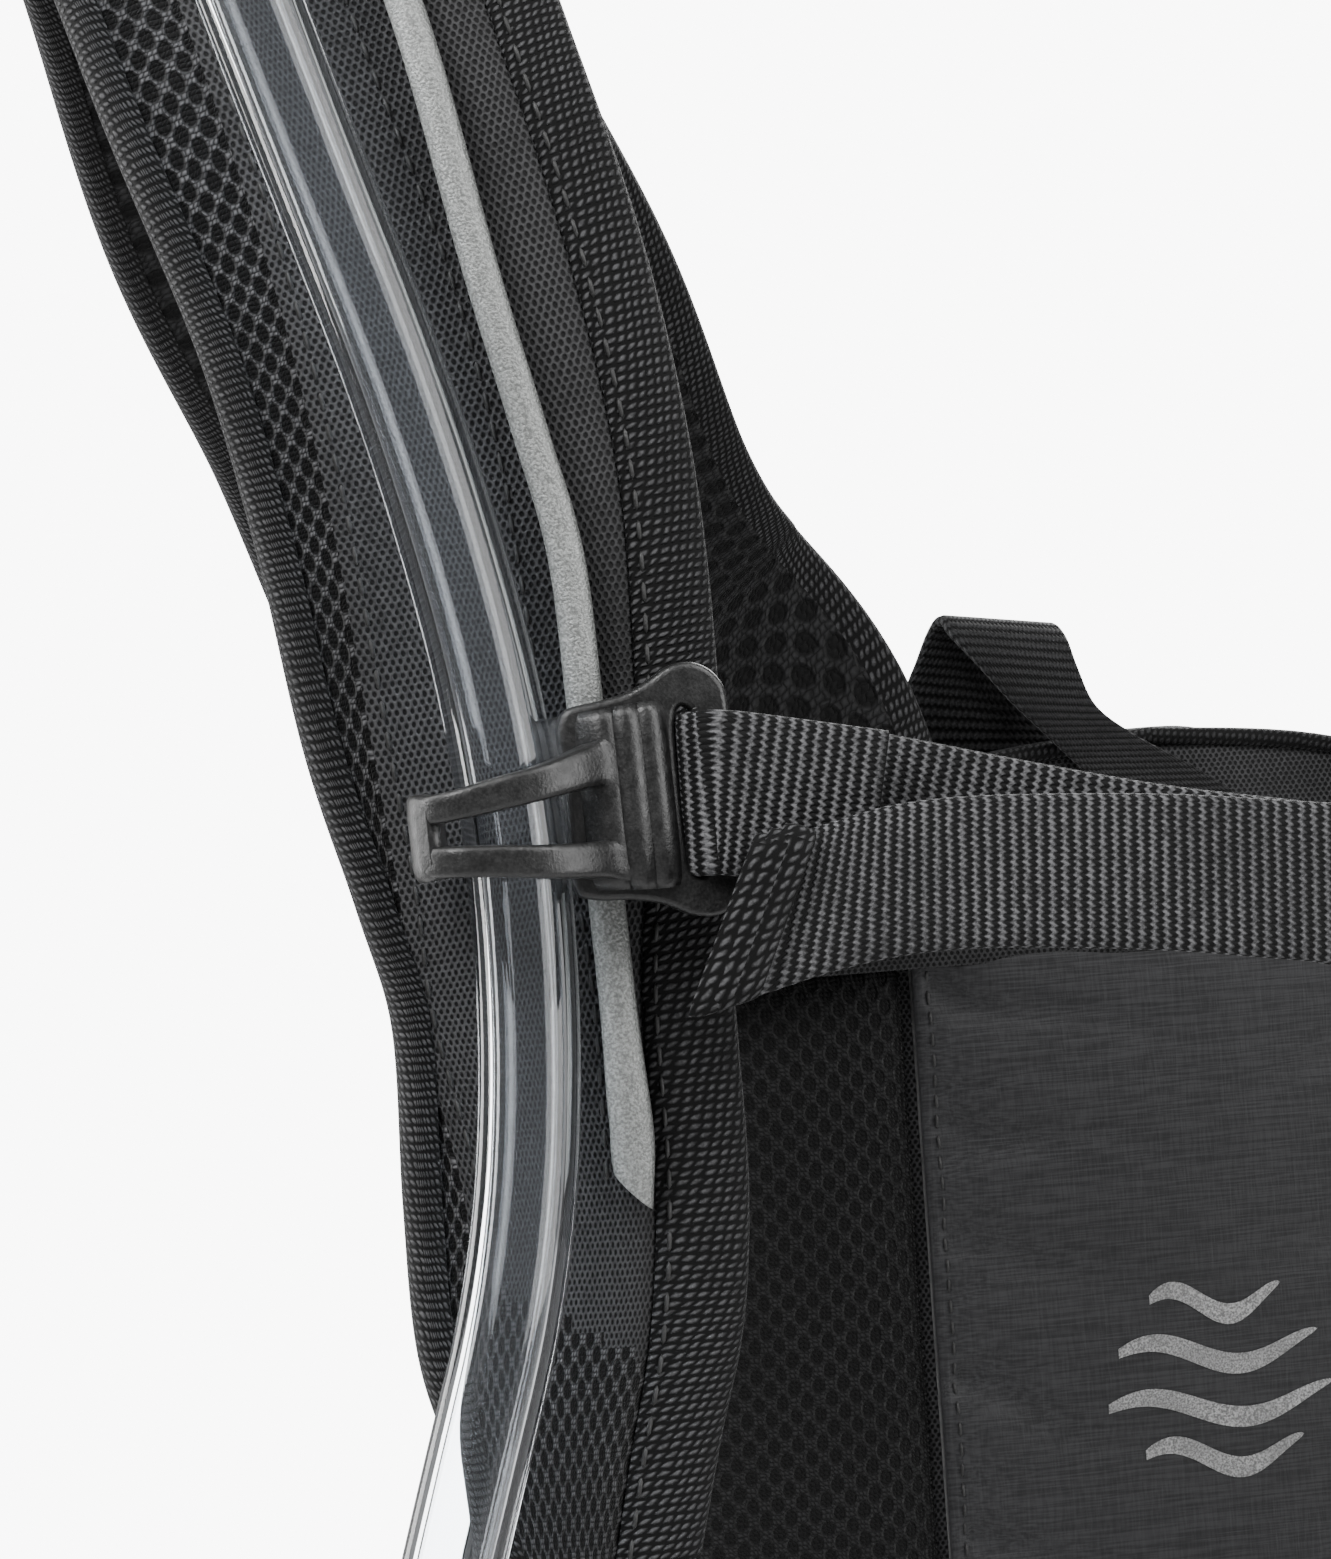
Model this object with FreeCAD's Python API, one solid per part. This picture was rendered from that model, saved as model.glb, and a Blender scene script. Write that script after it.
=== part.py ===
import FreeCAD, Part
import math
import os

from FreeCAD import Vector as V

# Hydration pack, hung by its haul loop. Millimetres, Z up. The wearer's side faces -Y, and +X is the
# wearer's left. The origin is where a hook bears, under the crown of the haul loop.

# ---- driving dimensions ----
PACK_TOP = -16.0            # highest point of the bag
PACK_BOTTOM = -436.0
TOP_RADIUS = 120.0          # arched top edge
SHOULDER_X, SHOULDER_Z = 89.5, -78.0    # where the arched shoulder meets the straight side
SIDE_X = 103.0              # half width low down
CORNER_R = 38.0
FOAM = (4.0, 12.0)          # back foam, from Y to Y
PAD_FACE = -1.0             # wearer's face of the mesh pads
PAD_TOP = -42.0
SEAM_X = 36.0               # seam between centre panel and mesh pads
DEPTH_TOP, DEPTH_BOTTOM = 50.0, 76.0    # outer face of the front panel, at the top and at the bottom
CLOTH = 2.0                 # fabric wall of the bag
ZIP_CENTRE_Z = -136.0       # the main zip is an arch on the front panel, about this height
ZIP_R = 78.0
ZIP_SPAN = 82.0             # degrees from its crown to each end
COIL = 1.0                  # how far a zip's coil stands out of the fabric
SLIDER_TURN = 4.0           # half a slider's length, as an angle round the arch
STRAP_T = 8.0
STRAP_FACE = -134.0         # outer face of the strap over the chest
RAIL_R = 1.7
CLIP_X, CLIP_Z = -97.5, -19.0           # middle of the sternum clip, on the rail
RAIL_LEAN = 0.04            # sideways drift of the rail per unit of height
RAIL_Y = STRAP_FACE - 2.4
WEB, WEB_T = 15.0, 1.4      # sternum webbing
BUCKLE_Z = -34.0            # middle height of the sternum buckle
BUCKLE_Y = -144.3
STRAP_WEB = 20.0            # adjuster webbing
HOSE_D = 9.5
VALVE_TOP = V(-122.5, -139.5, -143.0)   # end of the hose, where the bite valve starts
PANEL_TILT = math.degrees(math.atan2(DEPTH_BOTTOM - DEPTH_TOP, PACK_TOP - PACK_BOTTOM))
PULL_DROOP = 3.0            # how far a pull sinks onto the fabric beside its zip, in degrees
POCKET_X, POCKET_TOP, POCKET_LOW, POCKET_DEPTH = 82.0, -205.0, -405.0, 14.0
POCKET_ZIP_X = 70.0         # half length of the pocket's zip
POCKET_SLIDER_X = -62.0     # its slider, closed
BAG_BACK, BAG_FRONT = 14.0, 29.0            # the reservoir, from Y to Y
FILL = V(0, BAG_FRONT, -182)                # middle of the filler opening
OUTLET = V(-26.2, 22, -398)                 # middle of the reservoir's outlet
CLIP_BACK = STRAP_FACE - 0.5                # the sternum clip's face on the strap
BUCKLE_FOLD = 2.25          # webbing's middle line round a buckle bar
BAR_RIGHT_X, BAR_LEFT_X = -14.2, 20.8   # webbing bars of the two halves
BAR = 1.2                   # half width of those bars
LOCK_TOP = V(-101.6, -130.0, -99.0)     # the ladder lock's upper bar, its tilt axis
ANCHOR = V(-112.0, 4.3, -400.0)         # lower webbing's seam on its anchor tab

# Shoulder strap on the wearer's right, from the yoke over the shoulder to the tip:
# middle point, width, and how far the width direction leans up from level.
STRAP = [
    (V(-58.0, -5.5, -44.0), 60, 25), (V(-66.0, -6.5, -20.0), 66, 25), (V(-81.0, -10.0, -3.0), 67, 22),
    (V(-88.0, -15.0, 12.0), 66, 20), (V(-97.6, -26.0, 36.5), 65, 18), (V(-109.8, -40.0, 59.5), 62, 16),
    (V(-119.5, -58.0, 84.0), 56, 12), (V(-127.0, -84.0, 99.0), 51, 4), (V(-126.0, -106.0, 90.0), 48.5, 6),
    (V(-121.0, -121.0, 71.0), 46.5, 12), (V(-116.2, -127.5, 52.0), 45, 14),
    (V(-109.8, -129.8, 30.0), 43.5, 12), (V(-106.0, -130.0, 10.0), 42.4, 8),
    (V(-104.0, -130.0, -10.0), 40, 4), (V(-102.2, -130.0, -25.0), 36, 3),
    (V(-101.0, -130.0, -38.0), 32.8, 2), (V(-101.0, -130.0, -56.0), 33, 0),
    (V(-101.6, -130.0, -70.0), 31, 0),
    (V(-101.6, -130.0, -81.0), 25, 0), (V(-101.6, -130.0, -91.0), 20, 0),
]
# How far the rail lies from the strap's middle line, station by station from the apex down.
RAIL_FROM, RAIL_OFFSETS = 7, [4.0, 5.0, 6.5, 7.2]
RAIL_MID = [V(-104.6, RAIL_Y, 30.0), V(-101.2, RAIL_Y, 15.5), V(-98.7, RAIL_Y, 4.0)]
RAIL_LOW_Z = (2.0, -47.0)
RAIL_TIP = V(-95.9, RAIL_Y, -56.0)

# Free drink hose, from its port on the gusset to the bite valve.
HOSE_PORT = V(-55.0, 25.0, -37.0)
HOSE = [
    HOSE_PORT, V(-67.0, 21.5, -14.0), V(-81.0, 13.0, 9.5), V(-96.0, 0.5, 36.5), V(-111.0, -16.0, 65.5),
    V(-123.5, -38.0, 94.5), V(-132.0, -65.5, 114.0), V(-137.0, -97.0, 116.5), V(-136.0, -125.0, 101.5),
    V(-130.0, -140.5, 74.0), V(-120.5, -139.0, 43.5), V(-111.5, -139.4, 15.0), V(-105.8, -139.5, -13.0),
    V(-105.0, -139.5, -38.0), V(-107.5, -139.6, -61.0), V(-114.5, -139.8, -83.0),
    V(-120.5, -139.8, -103.0), V(-122.7, -139.6, -123.0), VALVE_TOP,
]
# Hose inside the bag, from the reservoir's outlet up to the port.
INNER_HOSE = [
    V(-36.0, 22.0, -398.0), V(-57.0, 22.0, -398.0), V(-75.4, 22.0, -390.2), V(-87.7, 22.0, -374.4),
    V(-91.9, 22.0, -354.8), V(-90.5, 22.5, -322.0), V(-86.0, 22.0, -285.0), V(-83.0, 21.5, -240.0),
    V(-81.0, 22.5, -200.0), V(-75.0, 22.0, -160.0), V(-62.5, 24.5, -124.0), V(-46.0, 27.5, -95.0),
    V(-39.2, 29.3, -67.3), HOSE_PORT,
]


def save(name, shape):
    """Write one node, and say what it holds."""
    assert shape.isValid() and shape.Volume > 0, name
    shape.exportStep("parts/%s.step" % name)
    print("%-26s %2d solids %9.0f mm3" % (name, len(shape.Solids), shape.Volume))


def mirrored(shape):
    """The same piece on the wearer's other side."""
    return shape.mirror(V(0, 0, 0), V(1, 0, 0))


def save_pair(name, shape):
    save(name + "_right", shape)
    save(name + "_left", mirrored(shape))


def save_both(name, shape):
    """One node that holds the piece of each side."""
    save(name, Part.makeCompound([shape, mirrored(shape)]))


def box(x, y, z):
    """A block from (low, high) pairs."""
    return Part.makeBox(x[1] - x[0], y[1] - y[0], z[1] - z[0], V(x[0], y[0], z[0]))


def prism(points, direction):
    """A polygon pushed along a vector."""
    return Part.Face(Part.makePolygon(points + points[:1])).extrude(direction)


def plate(outline_xz, y_from, y_to):
    """A plate from an outline seen from the front."""
    return prism([V(x, y_from, z) for x, z in outline_xz], V(0, y_to - y_from, 0))


def fused(shapes):
    whole = shapes[0].multiFuse(shapes[1:]) if len(shapes) > 1 else shapes[0]
    return whole.removeSplitter()


def along(p, direction, radius, low, high):
    """A cylinder about a direction, from one distance along it to another."""
    return Part.makeCylinder(radius, high - low, p + direction * low, direction)


def tangents(points):
    """Direction of a line of points at each of them."""
    last = len(points) - 1
    return [(points[min(i + 1, last)] - points[max(i - 1, 0)]).normalize() for i in range(last + 1)]


def frame_at(tangent, across):
    """Width and thickness directions of a band, both square to its run."""
    thick = tangent.cross(across).normalize()
    return thick.cross(tangent).normalize(), thick


def triangle(a, b, c):
    return Part.Face(Part.makePolygon([a, b, c, a]))


def loft(sections):
    """A closed faceted solid through polygons with the same number of corners.

    Opposite sides are split along the same diagonal, so that a thin twisted strip keeps its thickness."""
    faces = []
    for low, high in zip(sections, sections[1:]):
        for i in range(len(low)):
            j = (i + 1) % len(low)
            if i < len(low) / 2:
                faces += [triangle(low[i], low[j], high[j]), triangle(low[i], high[j], high[i])]
            else:
                faces += [triangle(low[i], low[j], high[i]), triangle(low[j], high[j], high[i])]
    start = sections[0][::-1]
    faces += [Part.Face(Part.makePolygon(s + s[:1])) for s in (start, sections[-1])]
    shell = Part.makeShell(faces)
    shell.sewShape()
    solid = Part.makeSolid(shell)
    return solid if solid.Volume > 0 else solid.reversed()


def band(points, across, width, thickness):
    """A flat strip along a line of points; across and width are one value or one for each point."""
    n = len(points)
    across = across if isinstance(across, list) else [across] * n
    width = width if isinstance(width, list) else [width] * n
    sections = []
    for p, t, a, w in zip(points, tangents(points), across, width):
        side, thick = frame_at(t, a)
        half, up = side * (w / 2), thick * (thickness / 2)
        sections.append([p - half - up, p + half - up, p + half + up, p - half + up])
    return loft(sections)


def rounded_path(points, label):
    """Straight runs joined by tangent arcs; returns the wire, its length and its tightest radius."""
    cuts, tightest = [], 1e9
    for a, b, c in zip(points, points[1:], points[2:]):
        back, on = (a - b), (c - b)
        reach = 0.45 * min(back.Length, on.Length)
        turn = math.pi - back.getAngle(on)
        tightest = min(tightest, reach / math.tan(turn / 2))
        enter, leave = b + V(back).normalize() * reach, b + V(on).normalize() * reach
        bisector = (V(back).normalize() + V(on).normalize()).normalize()
        radius = reach / math.tan(turn / 2)
        crown = b + bisector * (math.hypot(radius, reach) - radius)
        cuts.append((enter, crown, leave))
    edges, here = [], points[0]
    for enter, crown, leave in cuts:
        edges += [Part.LineSegment(here, enter).toShape(), Part.Arc(enter, crown, leave).toShape()]
        here = leave
    edges.append(Part.LineSegment(here, points[-1]).toShape())
    wire = Part.Wire(edges)
    print("%s: length %.1f mm, tightest radius %.1f mm" % (label, wire.Length, tightest))
    return wire


def tube(points, diameter, label):
    """A solid tube along a route, checked against its section times its length."""
    wire = rounded_path(points, label)
    circle = Part.Wire(Part.makeCircle(diameter / 2, points[0], points[1] - points[0]))
    solid = wire.makePipeShell([circle], True, False)
    ratio = solid.Volume / (math.pi * diameter ** 2 / 4 * wire.Length)
    print("%s: volume over section x length %.4f" % (label, ratio))
    return solid


# ---- the bag ----

def top_z(x):
    """Height of the arched top edge."""
    return PACK_TOP - TOP_RADIUS + math.sqrt(TOP_RADIUS ** 2 - x ** 2)


def outline(inset, y):
    """The bag's outline seen from the wearer, shrunk by inset, as a closed wire."""
    arc_x = 72.0
    low_z = PACK_BOTTOM + CORNER_R
    a, b = V(arc_x, y, top_z(arc_x)), V(SHOULDER_X, y, SHOULDER_Z)
    side = V(SIDE_X, y, low_z)
    corner = CORNER_R * (1 - math.sqrt(0.5))
    mid = V(SIDE_X - corner, y, PACK_BOTTOM + corner)
    foot = V(SIDE_X - CORNER_R, y, PACK_BOTTOM)

    def flip(p):
        return V(-p.x, p.y, p.z)

    shoulder = V(SHOULDER_X - 4.0, y, SHOULDER_Z + 19.0)
    edges = [
        Part.Arc(flip(a), V(0, y, PACK_TOP), a), Part.Arc(a, shoulder, b), Part.LineSegment(b, side),
        Part.Arc(side, mid, foot), Part.LineSegment(foot, flip(foot)),
        Part.Arc(flip(foot), flip(mid), flip(side)), Part.LineSegment(flip(side), flip(b)),
        Part.Arc(flip(b), flip(shoulder), flip(a)),
    ]
    wire = Part.Wire([e.toShape() for e in edges])
    return wire.makeOffset2D(-inset) if inset else wire


def slab(inset, y_from, y_to):
    """The bag's outline as a plate."""
    return Part.Face(outline(inset, y_from)).extrude(V(0, y_to - y_from, 0))


def front_y(z):
    """Outer face of the front panel at a height."""
    return DEPTH_TOP + (DEPTH_BOTTOM - DEPTH_TOP) * (PACK_TOP - z) / (PACK_TOP - PACK_BOTTOM)


def behind_front(offset):
    """Everything on the wearer's side of the sloping front panel, moved in by offset."""
    high, low = 40.0, -500.0
    side = [V(-200, -60, high), V(-200, front_y(high) - offset, high),
            V(-200, front_y(low) - offset, low), V(-200, -60, low)]
    return prism(side, V(400, 0, 0))


def back_panel():
    save("back_foam", slab(1.5, *FOAM))
    face = slab(5.0, PAD_FACE, FOAM[0])
    save("back_mesh_pad_right", face.common(box((-120, -SEAM_X), (-9, 9), (-424, PAD_TOP))))
    save("back_mesh_pad_left", face.common(box((SEAM_X, 120), (-9, 9), (-424, PAD_TOP))))
    centre = slab(5.0, 0.0, FOAM[0])
    save("back_centre_panel", centre.common(box((-SEAM_X, SEAM_X), (-9, 9), (-424, PAD_TOP))))
    save("yoke_panel", slab(2.0, 0.5, FOAM[0]).common(box((-120, 120), (-9, 9), (PAD_TOP, 0))))


def gusset():
    """The band of fabric round the bag with the hose port's hole, and the front panel with its zip slot."""
    ring = slab(0, FOAM[1], 90).cut(slab(CLOTH, FOAM[1] - 1, 91)).common(behind_front(CLOTH))
    ring = ring.cut(Part.makeSphere(8.2, HOSE_PORT))
    cuts = {
        "top_gusset": box((-130, 130), (0, 90), (-110, 0)),
        "side_gusset_right": box((-130, 0), (0, 90), (-390, -110)),
        "side_gusset_left": box((0, 130), (0, 90), (-390, -110)),
        "bottom_gusset": box((-130, 130), (0, 90), (-450, -390)),
    }
    for name, region in cuts.items():
        save(name, ring.common(region))
    skin = slab(0, FOAM[1], 90).common(behind_front(0)).cut(behind_front(CLOTH))
    save("front_panel", skin.cut(on_panel(zip_arch(3.0, -6.0, 6.0, ZIP_SPAN))))


def on_panel(shape):
    """Carry a piece built on the plane Y = 0 round the origin to the zip's centre on the front panel."""
    shape.rotate(V(0, 0, 0), V(1, 0, 0), PANEL_TILT)
    shape.translate(V(0, front_y(ZIP_CENTRE_Z), ZIP_CENTRE_Z))
    return shape


def zip_arch(half_width, y_from, y_to, span):
    """Part of a flat ring that stands in the plane Y = 0, over the top from -span to span degrees."""
    base, up, height = V(0, 0, -y_to), V(0, 0, 1), y_to - y_from
    outer = Part.makeCylinder(ZIP_R + half_width, height, base, up, 2 * span)
    ring = outer.cut(Part.makeCylinder(ZIP_R - half_width, height + 2, base - up, up))
    ring.rotate(V(0, 0, 0), up, 90 - span)
    ring.rotate(V(0, 0, 0), V(1, 0, 0), 90)
    return ring


def main_zip():
    """Tape and coil along the arch."""
    tape = zip_arch(2.9, -1.4, -0.3, ZIP_SPAN - 0.3)
    coil = zip_arch(1.3, -0.3, COIL, ZIP_SPAN - 0.3)
    save("main_zip_chain", on_panel(fused([tape, coil])))


def slider_shape():
    """A zip slider on a zip that runs along X under the origin: body, cheeks and the bridge for its pull."""
    crown = box((-5, 5), (-3.6, 3.6), (1.6, 3.6))
    cheeks = [box((-5, 5), (s - 0.7, s + 0.7), (0.3, 1.6)) for s in (-2.9, 2.9)]
    posts = [box((s - 0.7, s + 0.7), (-1.1, 1.1), (3.6, 6.4)) for s in (-3.4, 3.4)]
    bridge = box((-4.1, 4.1), (-1.1, 1.1), (6.4, 7.6))
    return fused([crown, bridge] + cheeks + posts)


def pull_shape(droop):
    """A pull that lies along the zip from the slider's bridge: a ring, then a moulded grip."""
    ring = box((0.9, 13.5), (-3.4, 3.4), (4.6, 6.0)).cut(box((2.3, 11.9), (-1.8, 1.8), (4, 7)))
    grip = box((13.5, 34.0), (-3.0, 3.0), (4.0, 6.6))
    pull = fused([ring, grip])
    pull.rotate(V(1.6, 0, 5.3), V(0, 1, 0), droop)
    return pull


def main_sliders():
    """The two sliders meet at the crown of the arch; each runs round it on its own side."""
    for name, shape in (("main_slider", slider_shape()), ("main_pull", pull_shape(PULL_DROOP))):
        shape.rotate(V(0, 0, 0), V(1, 0, 0), -90)
        shape.translate(V(0, COIL, ZIP_R))
        shape.rotate(V(0, 0, 0), V(0, 1, 0), SLIDER_TURN)
        save_pair(name, mirrored(on_panel(shape)))


def pocket_slab(inset, reach):
    """The pocket's outline, pushed out from the front panel by reach."""
    x, top, low = POCKET_X - inset, POCKET_TOP - inset, POCKET_LOW + inset
    face = plate([(-x, low), (x, low), (x, top), (-x, top)], 40.0, 120.0)
    corners = [e for e in face.Edges if abs(e.tangentAt(e.FirstParameter).y) > 0.9]
    return face.makeFillet(22.0 - inset, corners).common(behind_front(-reach)).cut(behind_front(0))


def front_pocket():
    """A flat pocket on the front panel, its zip along the upper edge."""
    shell = pocket_slab(0, POCKET_DEPTH).cut(pocket_slab(1.6, POCKET_DEPTH - 1.6))
    mid = front_y(POCKET_TOP) + POCKET_DEPTH / 2
    slot = box((-POCKET_ZIP_X, POCKET_ZIP_X), (mid - 2.5, mid + 2.5), (POCKET_TOP - 4, POCKET_TOP + 4))
    save("front_pocket", shell.cut(slot))
    run = (0.2 - POCKET_ZIP_X, POCKET_ZIP_X - 0.2)
    tape = box(run, (mid - 2.4, mid + 2.4), (POCKET_TOP - 1.4, POCKET_TOP - 0.2))
    coil = box(run, (mid - 1.3, mid + 1.3), (POCKET_TOP - 0.2, POCKET_TOP + COIL))
    save("pocket_zip_chain", fused([tape, coil]))
    for name, shape in (("pocket_slider", slider_shape()), ("pocket_pull", pull_shape(PULL_DROOP))):
        shape.translate(V(POCKET_SLIDER_X, mid, POCKET_TOP + COIL))
        save(name, shape)


# ---- reservoir ----

BAG = [(-50, -128), (50, -128), (62, -150), (62, -392), (50, -404), (-26, -404), (-26, -386), (-62, -386),
       (-62, -150)]


def reservoir():
    save("reservoir_bag", plate(BAG, BAG_BACK, BAG_FRONT))
    forward = V(0, 1, 0)
    neck = along(FILL, forward, 38, 0, 2.5).fuse(along(FILL, forward, 33, 0, 8))
    save("reservoir_neck", neck.cut(along(FILL, forward, 30, -1, 12)).removeSplitter())
    cap = along(FILL, forward, 40, 2.9, 14.9).cut(along(FILL, forward, 33.4, 2.4, 8.4))
    rib = box((-30, 30), (BAG_FRONT + 14.9, BAG_FRONT + 17.4), (FILL.z - 3, FILL.z + 3))
    save("reservoir_cap", fused([cap, rib]))
    save("reservoir_sleeve", box((-72, 72), (47.5, 48.7), (-428, -95)))
    hook = box((-9, 9), (19, 22), (-127.8, -108)).cut(box((-5, 5), (18, 23), (-117, -112)))
    save("hanger_hook", hook)
    strap = box((-4.5, 4.5), (12.1, 18.7), (-57, -55.5)).fuse(box((-4.5, 4.5), (17.5, 18.7), (-114.5, -57)))
    toe = box((-4.5, 4.5), (18.7, 23.5), (-114.5, -113.3))
    save("hanger_loop", fused([strap, toe]))


def hose_connector():
    """The reservoir's outlet and the push-button connector on the end of the hose."""
    side = V(-1, 0, 0)
    save("reservoir_outlet", along(OUTLET, side, 4.8, 0, 3.8))
    x, y, z = OUTLET
    well = box((x - 9.0, x - 5.0), (y + 4, y + 12), (z - 2, z + 2))
    save("connector_body", along(OUTLET, side, 7.5, 4.0, 9.8).cut(well))
    save("connector_button", box((x - 8.7, x - 5.3), (y + 5.0, y + 9.5), (z - 1.7, z + 1.7)))


# ---- haul loop ----

def haul_loop():
    """A folded ribbon: it leaves the top seam flat, turns edge-on over the crown and turns flat again."""
    path = [V(-19.5, -1.0, -34), V(-20.5, -1.0, -26), V(-21.5, -1.0, -20), V(-22.6, 0.6, -14.5),
            V(-23.2, 2.4, -9),
            V(-22.4, 4.2, -3.6), V(-18.0, 5.5, 0.8), V(-9.0, 5.5, 0.8), V(-4.5, 4.6, -2.4), V(-1.0, 3.0, -7),
            V(3.0, 0.8, -13), V(6.6, -1.0, -19), V(10.0, -1.0, -26), V(13.0, -1.0, -34)]
    turn = [0, 0, 0, 26, 52, 76, 90, 90, 74, 52, 26, 0, 0, 0]
    across = [V(math.cos(math.radians(a)), math.sin(math.radians(a)), 0) for a in turn]
    loop = band(path, across, 19.0, 1.6)
    save("haul_loop", loop)


# ---- shoulder straps ----

def strap_frames():
    points = [p for p, _, _ in STRAP]
    frames = []
    for (p, width, lean), t in zip(STRAP, tangents(points)):
        across = V(math.cos(math.radians(lean)), 0, math.sin(math.radians(lean)))
        side, thick = frame_at(t, across)
        frames.append((p, side, thick, width))
    return frames


def strap_strip(frames, low, high, inner, outer):
    """A lengthwise strip of the strap, between two distances given from its edges or middle."""
    sections = []
    for p, side, thick, width in frames:
        a, b = side * low(width), side * high(width)
        u, v = thick * inner, thick * outer
        sections.append([p + a + u, p + b + u, p + b + v, p + a + v])
    return loft(sections)


def strap_foam():
    """The padded strap between its two bindings."""
    half = STRAP_T / 2
    return strap_strip(strap_frames(), lambda w: -w / 2 + 3, lambda w: w / 2 - 3, -half, half)


def shoulder_straps():
    frames = strap_frames()
    half = STRAP_T / 2
    save_pair("shoulder_strap", strap_foam())
    inner = strap_strip(frames, lambda w: w / 2 - 2.9, lambda w: w / 2, -half, half)
    outer = strap_strip(frames, lambda w: -w / 2, lambda w: -w / 2 + 2.9, -half, half)
    save_both("inner_bindings", inner)
    save_both("outer_bindings", outer)


def rail_x(z):
    return CLIP_X - RAIL_LEAN * (z - CLIP_Z)


def rail_points():
    """The rail's centre line, from over the shoulder down to its pointed end."""
    frames = strap_frames()
    lift = STRAP_T / 2 + 2.4
    points = []
    for i, offset in enumerate(RAIL_OFFSETS):
        p, side, thick, _ = frames[RAIL_FROM + i]
        points.append((p + side * offset + outward(thick, p) * lift, side))
    level = V(1, 0, 0)
    points += [(p, level) for p in RAIL_MID]
    points += [(V(rail_x(z), RAIL_Y, z), level) for z in RAIL_LOW_Z]
    return points + [(RAIL_TIP, level)]


def outward(thick, p):
    """The strap's thickness direction that faces away from the wearer's shoulder."""
    away = V(0, p.y + 70.0, p.z - 40.0)
    return thick if thick.dot(away) > 0 else thick * -1


def rails():
    """Reflective piping: a round bead on a thin neck, sewn to the strap's face."""
    pairs = rail_points()
    points = [p for p, _ in pairs]
    sections = []
    for (p, side), t in zip(pairs, tangents(points)):
        side, thick = frame_at(t, side)
        out = outward(thick, p)
        ring = []
        for k in range(10):
            a = math.radians(-72 + 36 * k)
            ring.append(p + side * (RAIL_R * math.cos(a)) + out * (RAIL_R * math.sin(a)))
        foot = 2.35
        ring += [p - side * 0.5 - out * foot, p + side * 0.5 - out * foot]
        sections.append(ring)
    save_pair("rail", loft(sections).cut(strap_foam()))


# ---- sternum strap ----

HOOK_PLAN = [(2.0, 5.7), (-4.4, 4.3), (-10.8, 3.1), (-17.2, 2.2), (-17.7, -4.0), (-16.6, -5.3), (-6.9, -6.1),
             (2.0, -7.2)]
HOOK_WINDOW = [(-1.2, 1.9), (-2.8, 0.9), (-8.3, 0.1), (-15.4, -0.3), (-15.6, -2.5),
               (-6.7, -3.3), (-1.2, -3.7)]
HOOK_SIDE = [(2.0, -139.4), (-2.4, -140.6), (-4.3, -143.2), (-6.4, -144.9), (-13.2, -144.9), (-15.4, -143.2),
             (-15.5, -137.6), (-17.2, -137.2), (-17.7, -143.4), (-15.8, -146.4), (-13.6, -147.6),
             (-6.2, -147.6),
             (-3.4, -146.2), (-1.2, -143.2), (2.0, -142.4)]
FRAME_PLAN = [(-2.9, 8.6), (2.1, 8.8), (5.1, 9.2), (7.5, 10.8), (10.0, 10.7), (11.7, 9.2), (11.7, -9.2),
              (10.0, -10.9), (7.5, -10.8), (4.2, -9.2), (-2.9, -8.6)]


def sternum_clip():
    """Moulded clip: a channel that rides on the rail, a two-armed hook over the hose, a webbing bar."""
    y_low = -150.0
    side = prism([V(u, y, -12) for u, y in HOOK_SIDE], V(0, 0, 24))
    arms = side.common(plate(HOOK_PLAN, y_low, -130)).cut(plate(HOOK_WINDOW, y_low, -130))
    saddle = box((-2.9, 6.2), (-142.4, CLIP_BACK), (-8.6, 8.8))
    bore = Part.makeCylinder(RAIL_R + 0.3, 40, V(0, RAIL_Y, -20), V(0, 0, 1))
    mouth = box((-1.1, 1.1), (RAIL_Y, CLIP_BACK + 1), (-20, 20))
    frame = plate(FRAME_PLAN, -142.0, -139.4)
    slot = box((6.5, 9.4), (-145, -136), (-8.2, 8.2))
    whole = fused([saddle, frame, arms])
    recess = box((-1.6, 0.8), (y_low, RAIL_Y - 2.6), (-3.4, 1.8))
    whole = whole.cut(slot).cut(bore).cut(mouth).cut(recess)
    whole.rotate(V(0, 0, 0), V(0, 1, 0), -math.degrees(math.atan(RAIL_LEAN)))
    whole.translate(V(CLIP_X, 0, CLIP_Z))
    save_pair("sternum_clip", whole.removeSplitter())


# Height of the sternum webbing's middle at distances from the clip: it sags to the buckle.
DROOP = [(8.0, 0.0), (14.0, -0.6), (25.0, -2.8), (38.0, -6.2), (52.0, -9.6), (66.0, -12.2), (78.0, -14.2)]


def wrap(x, y, z, radius, outward_x):
    """Half a turn round a bar that runs along Z, starting behind it and ending in front."""
    points = []
    for step in range(7):
        a = math.radians(90 - 30 * step)
        points.append(V(x + outward_x * radius * math.cos(a), y + radius * math.sin(a), z))
    return points


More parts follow.
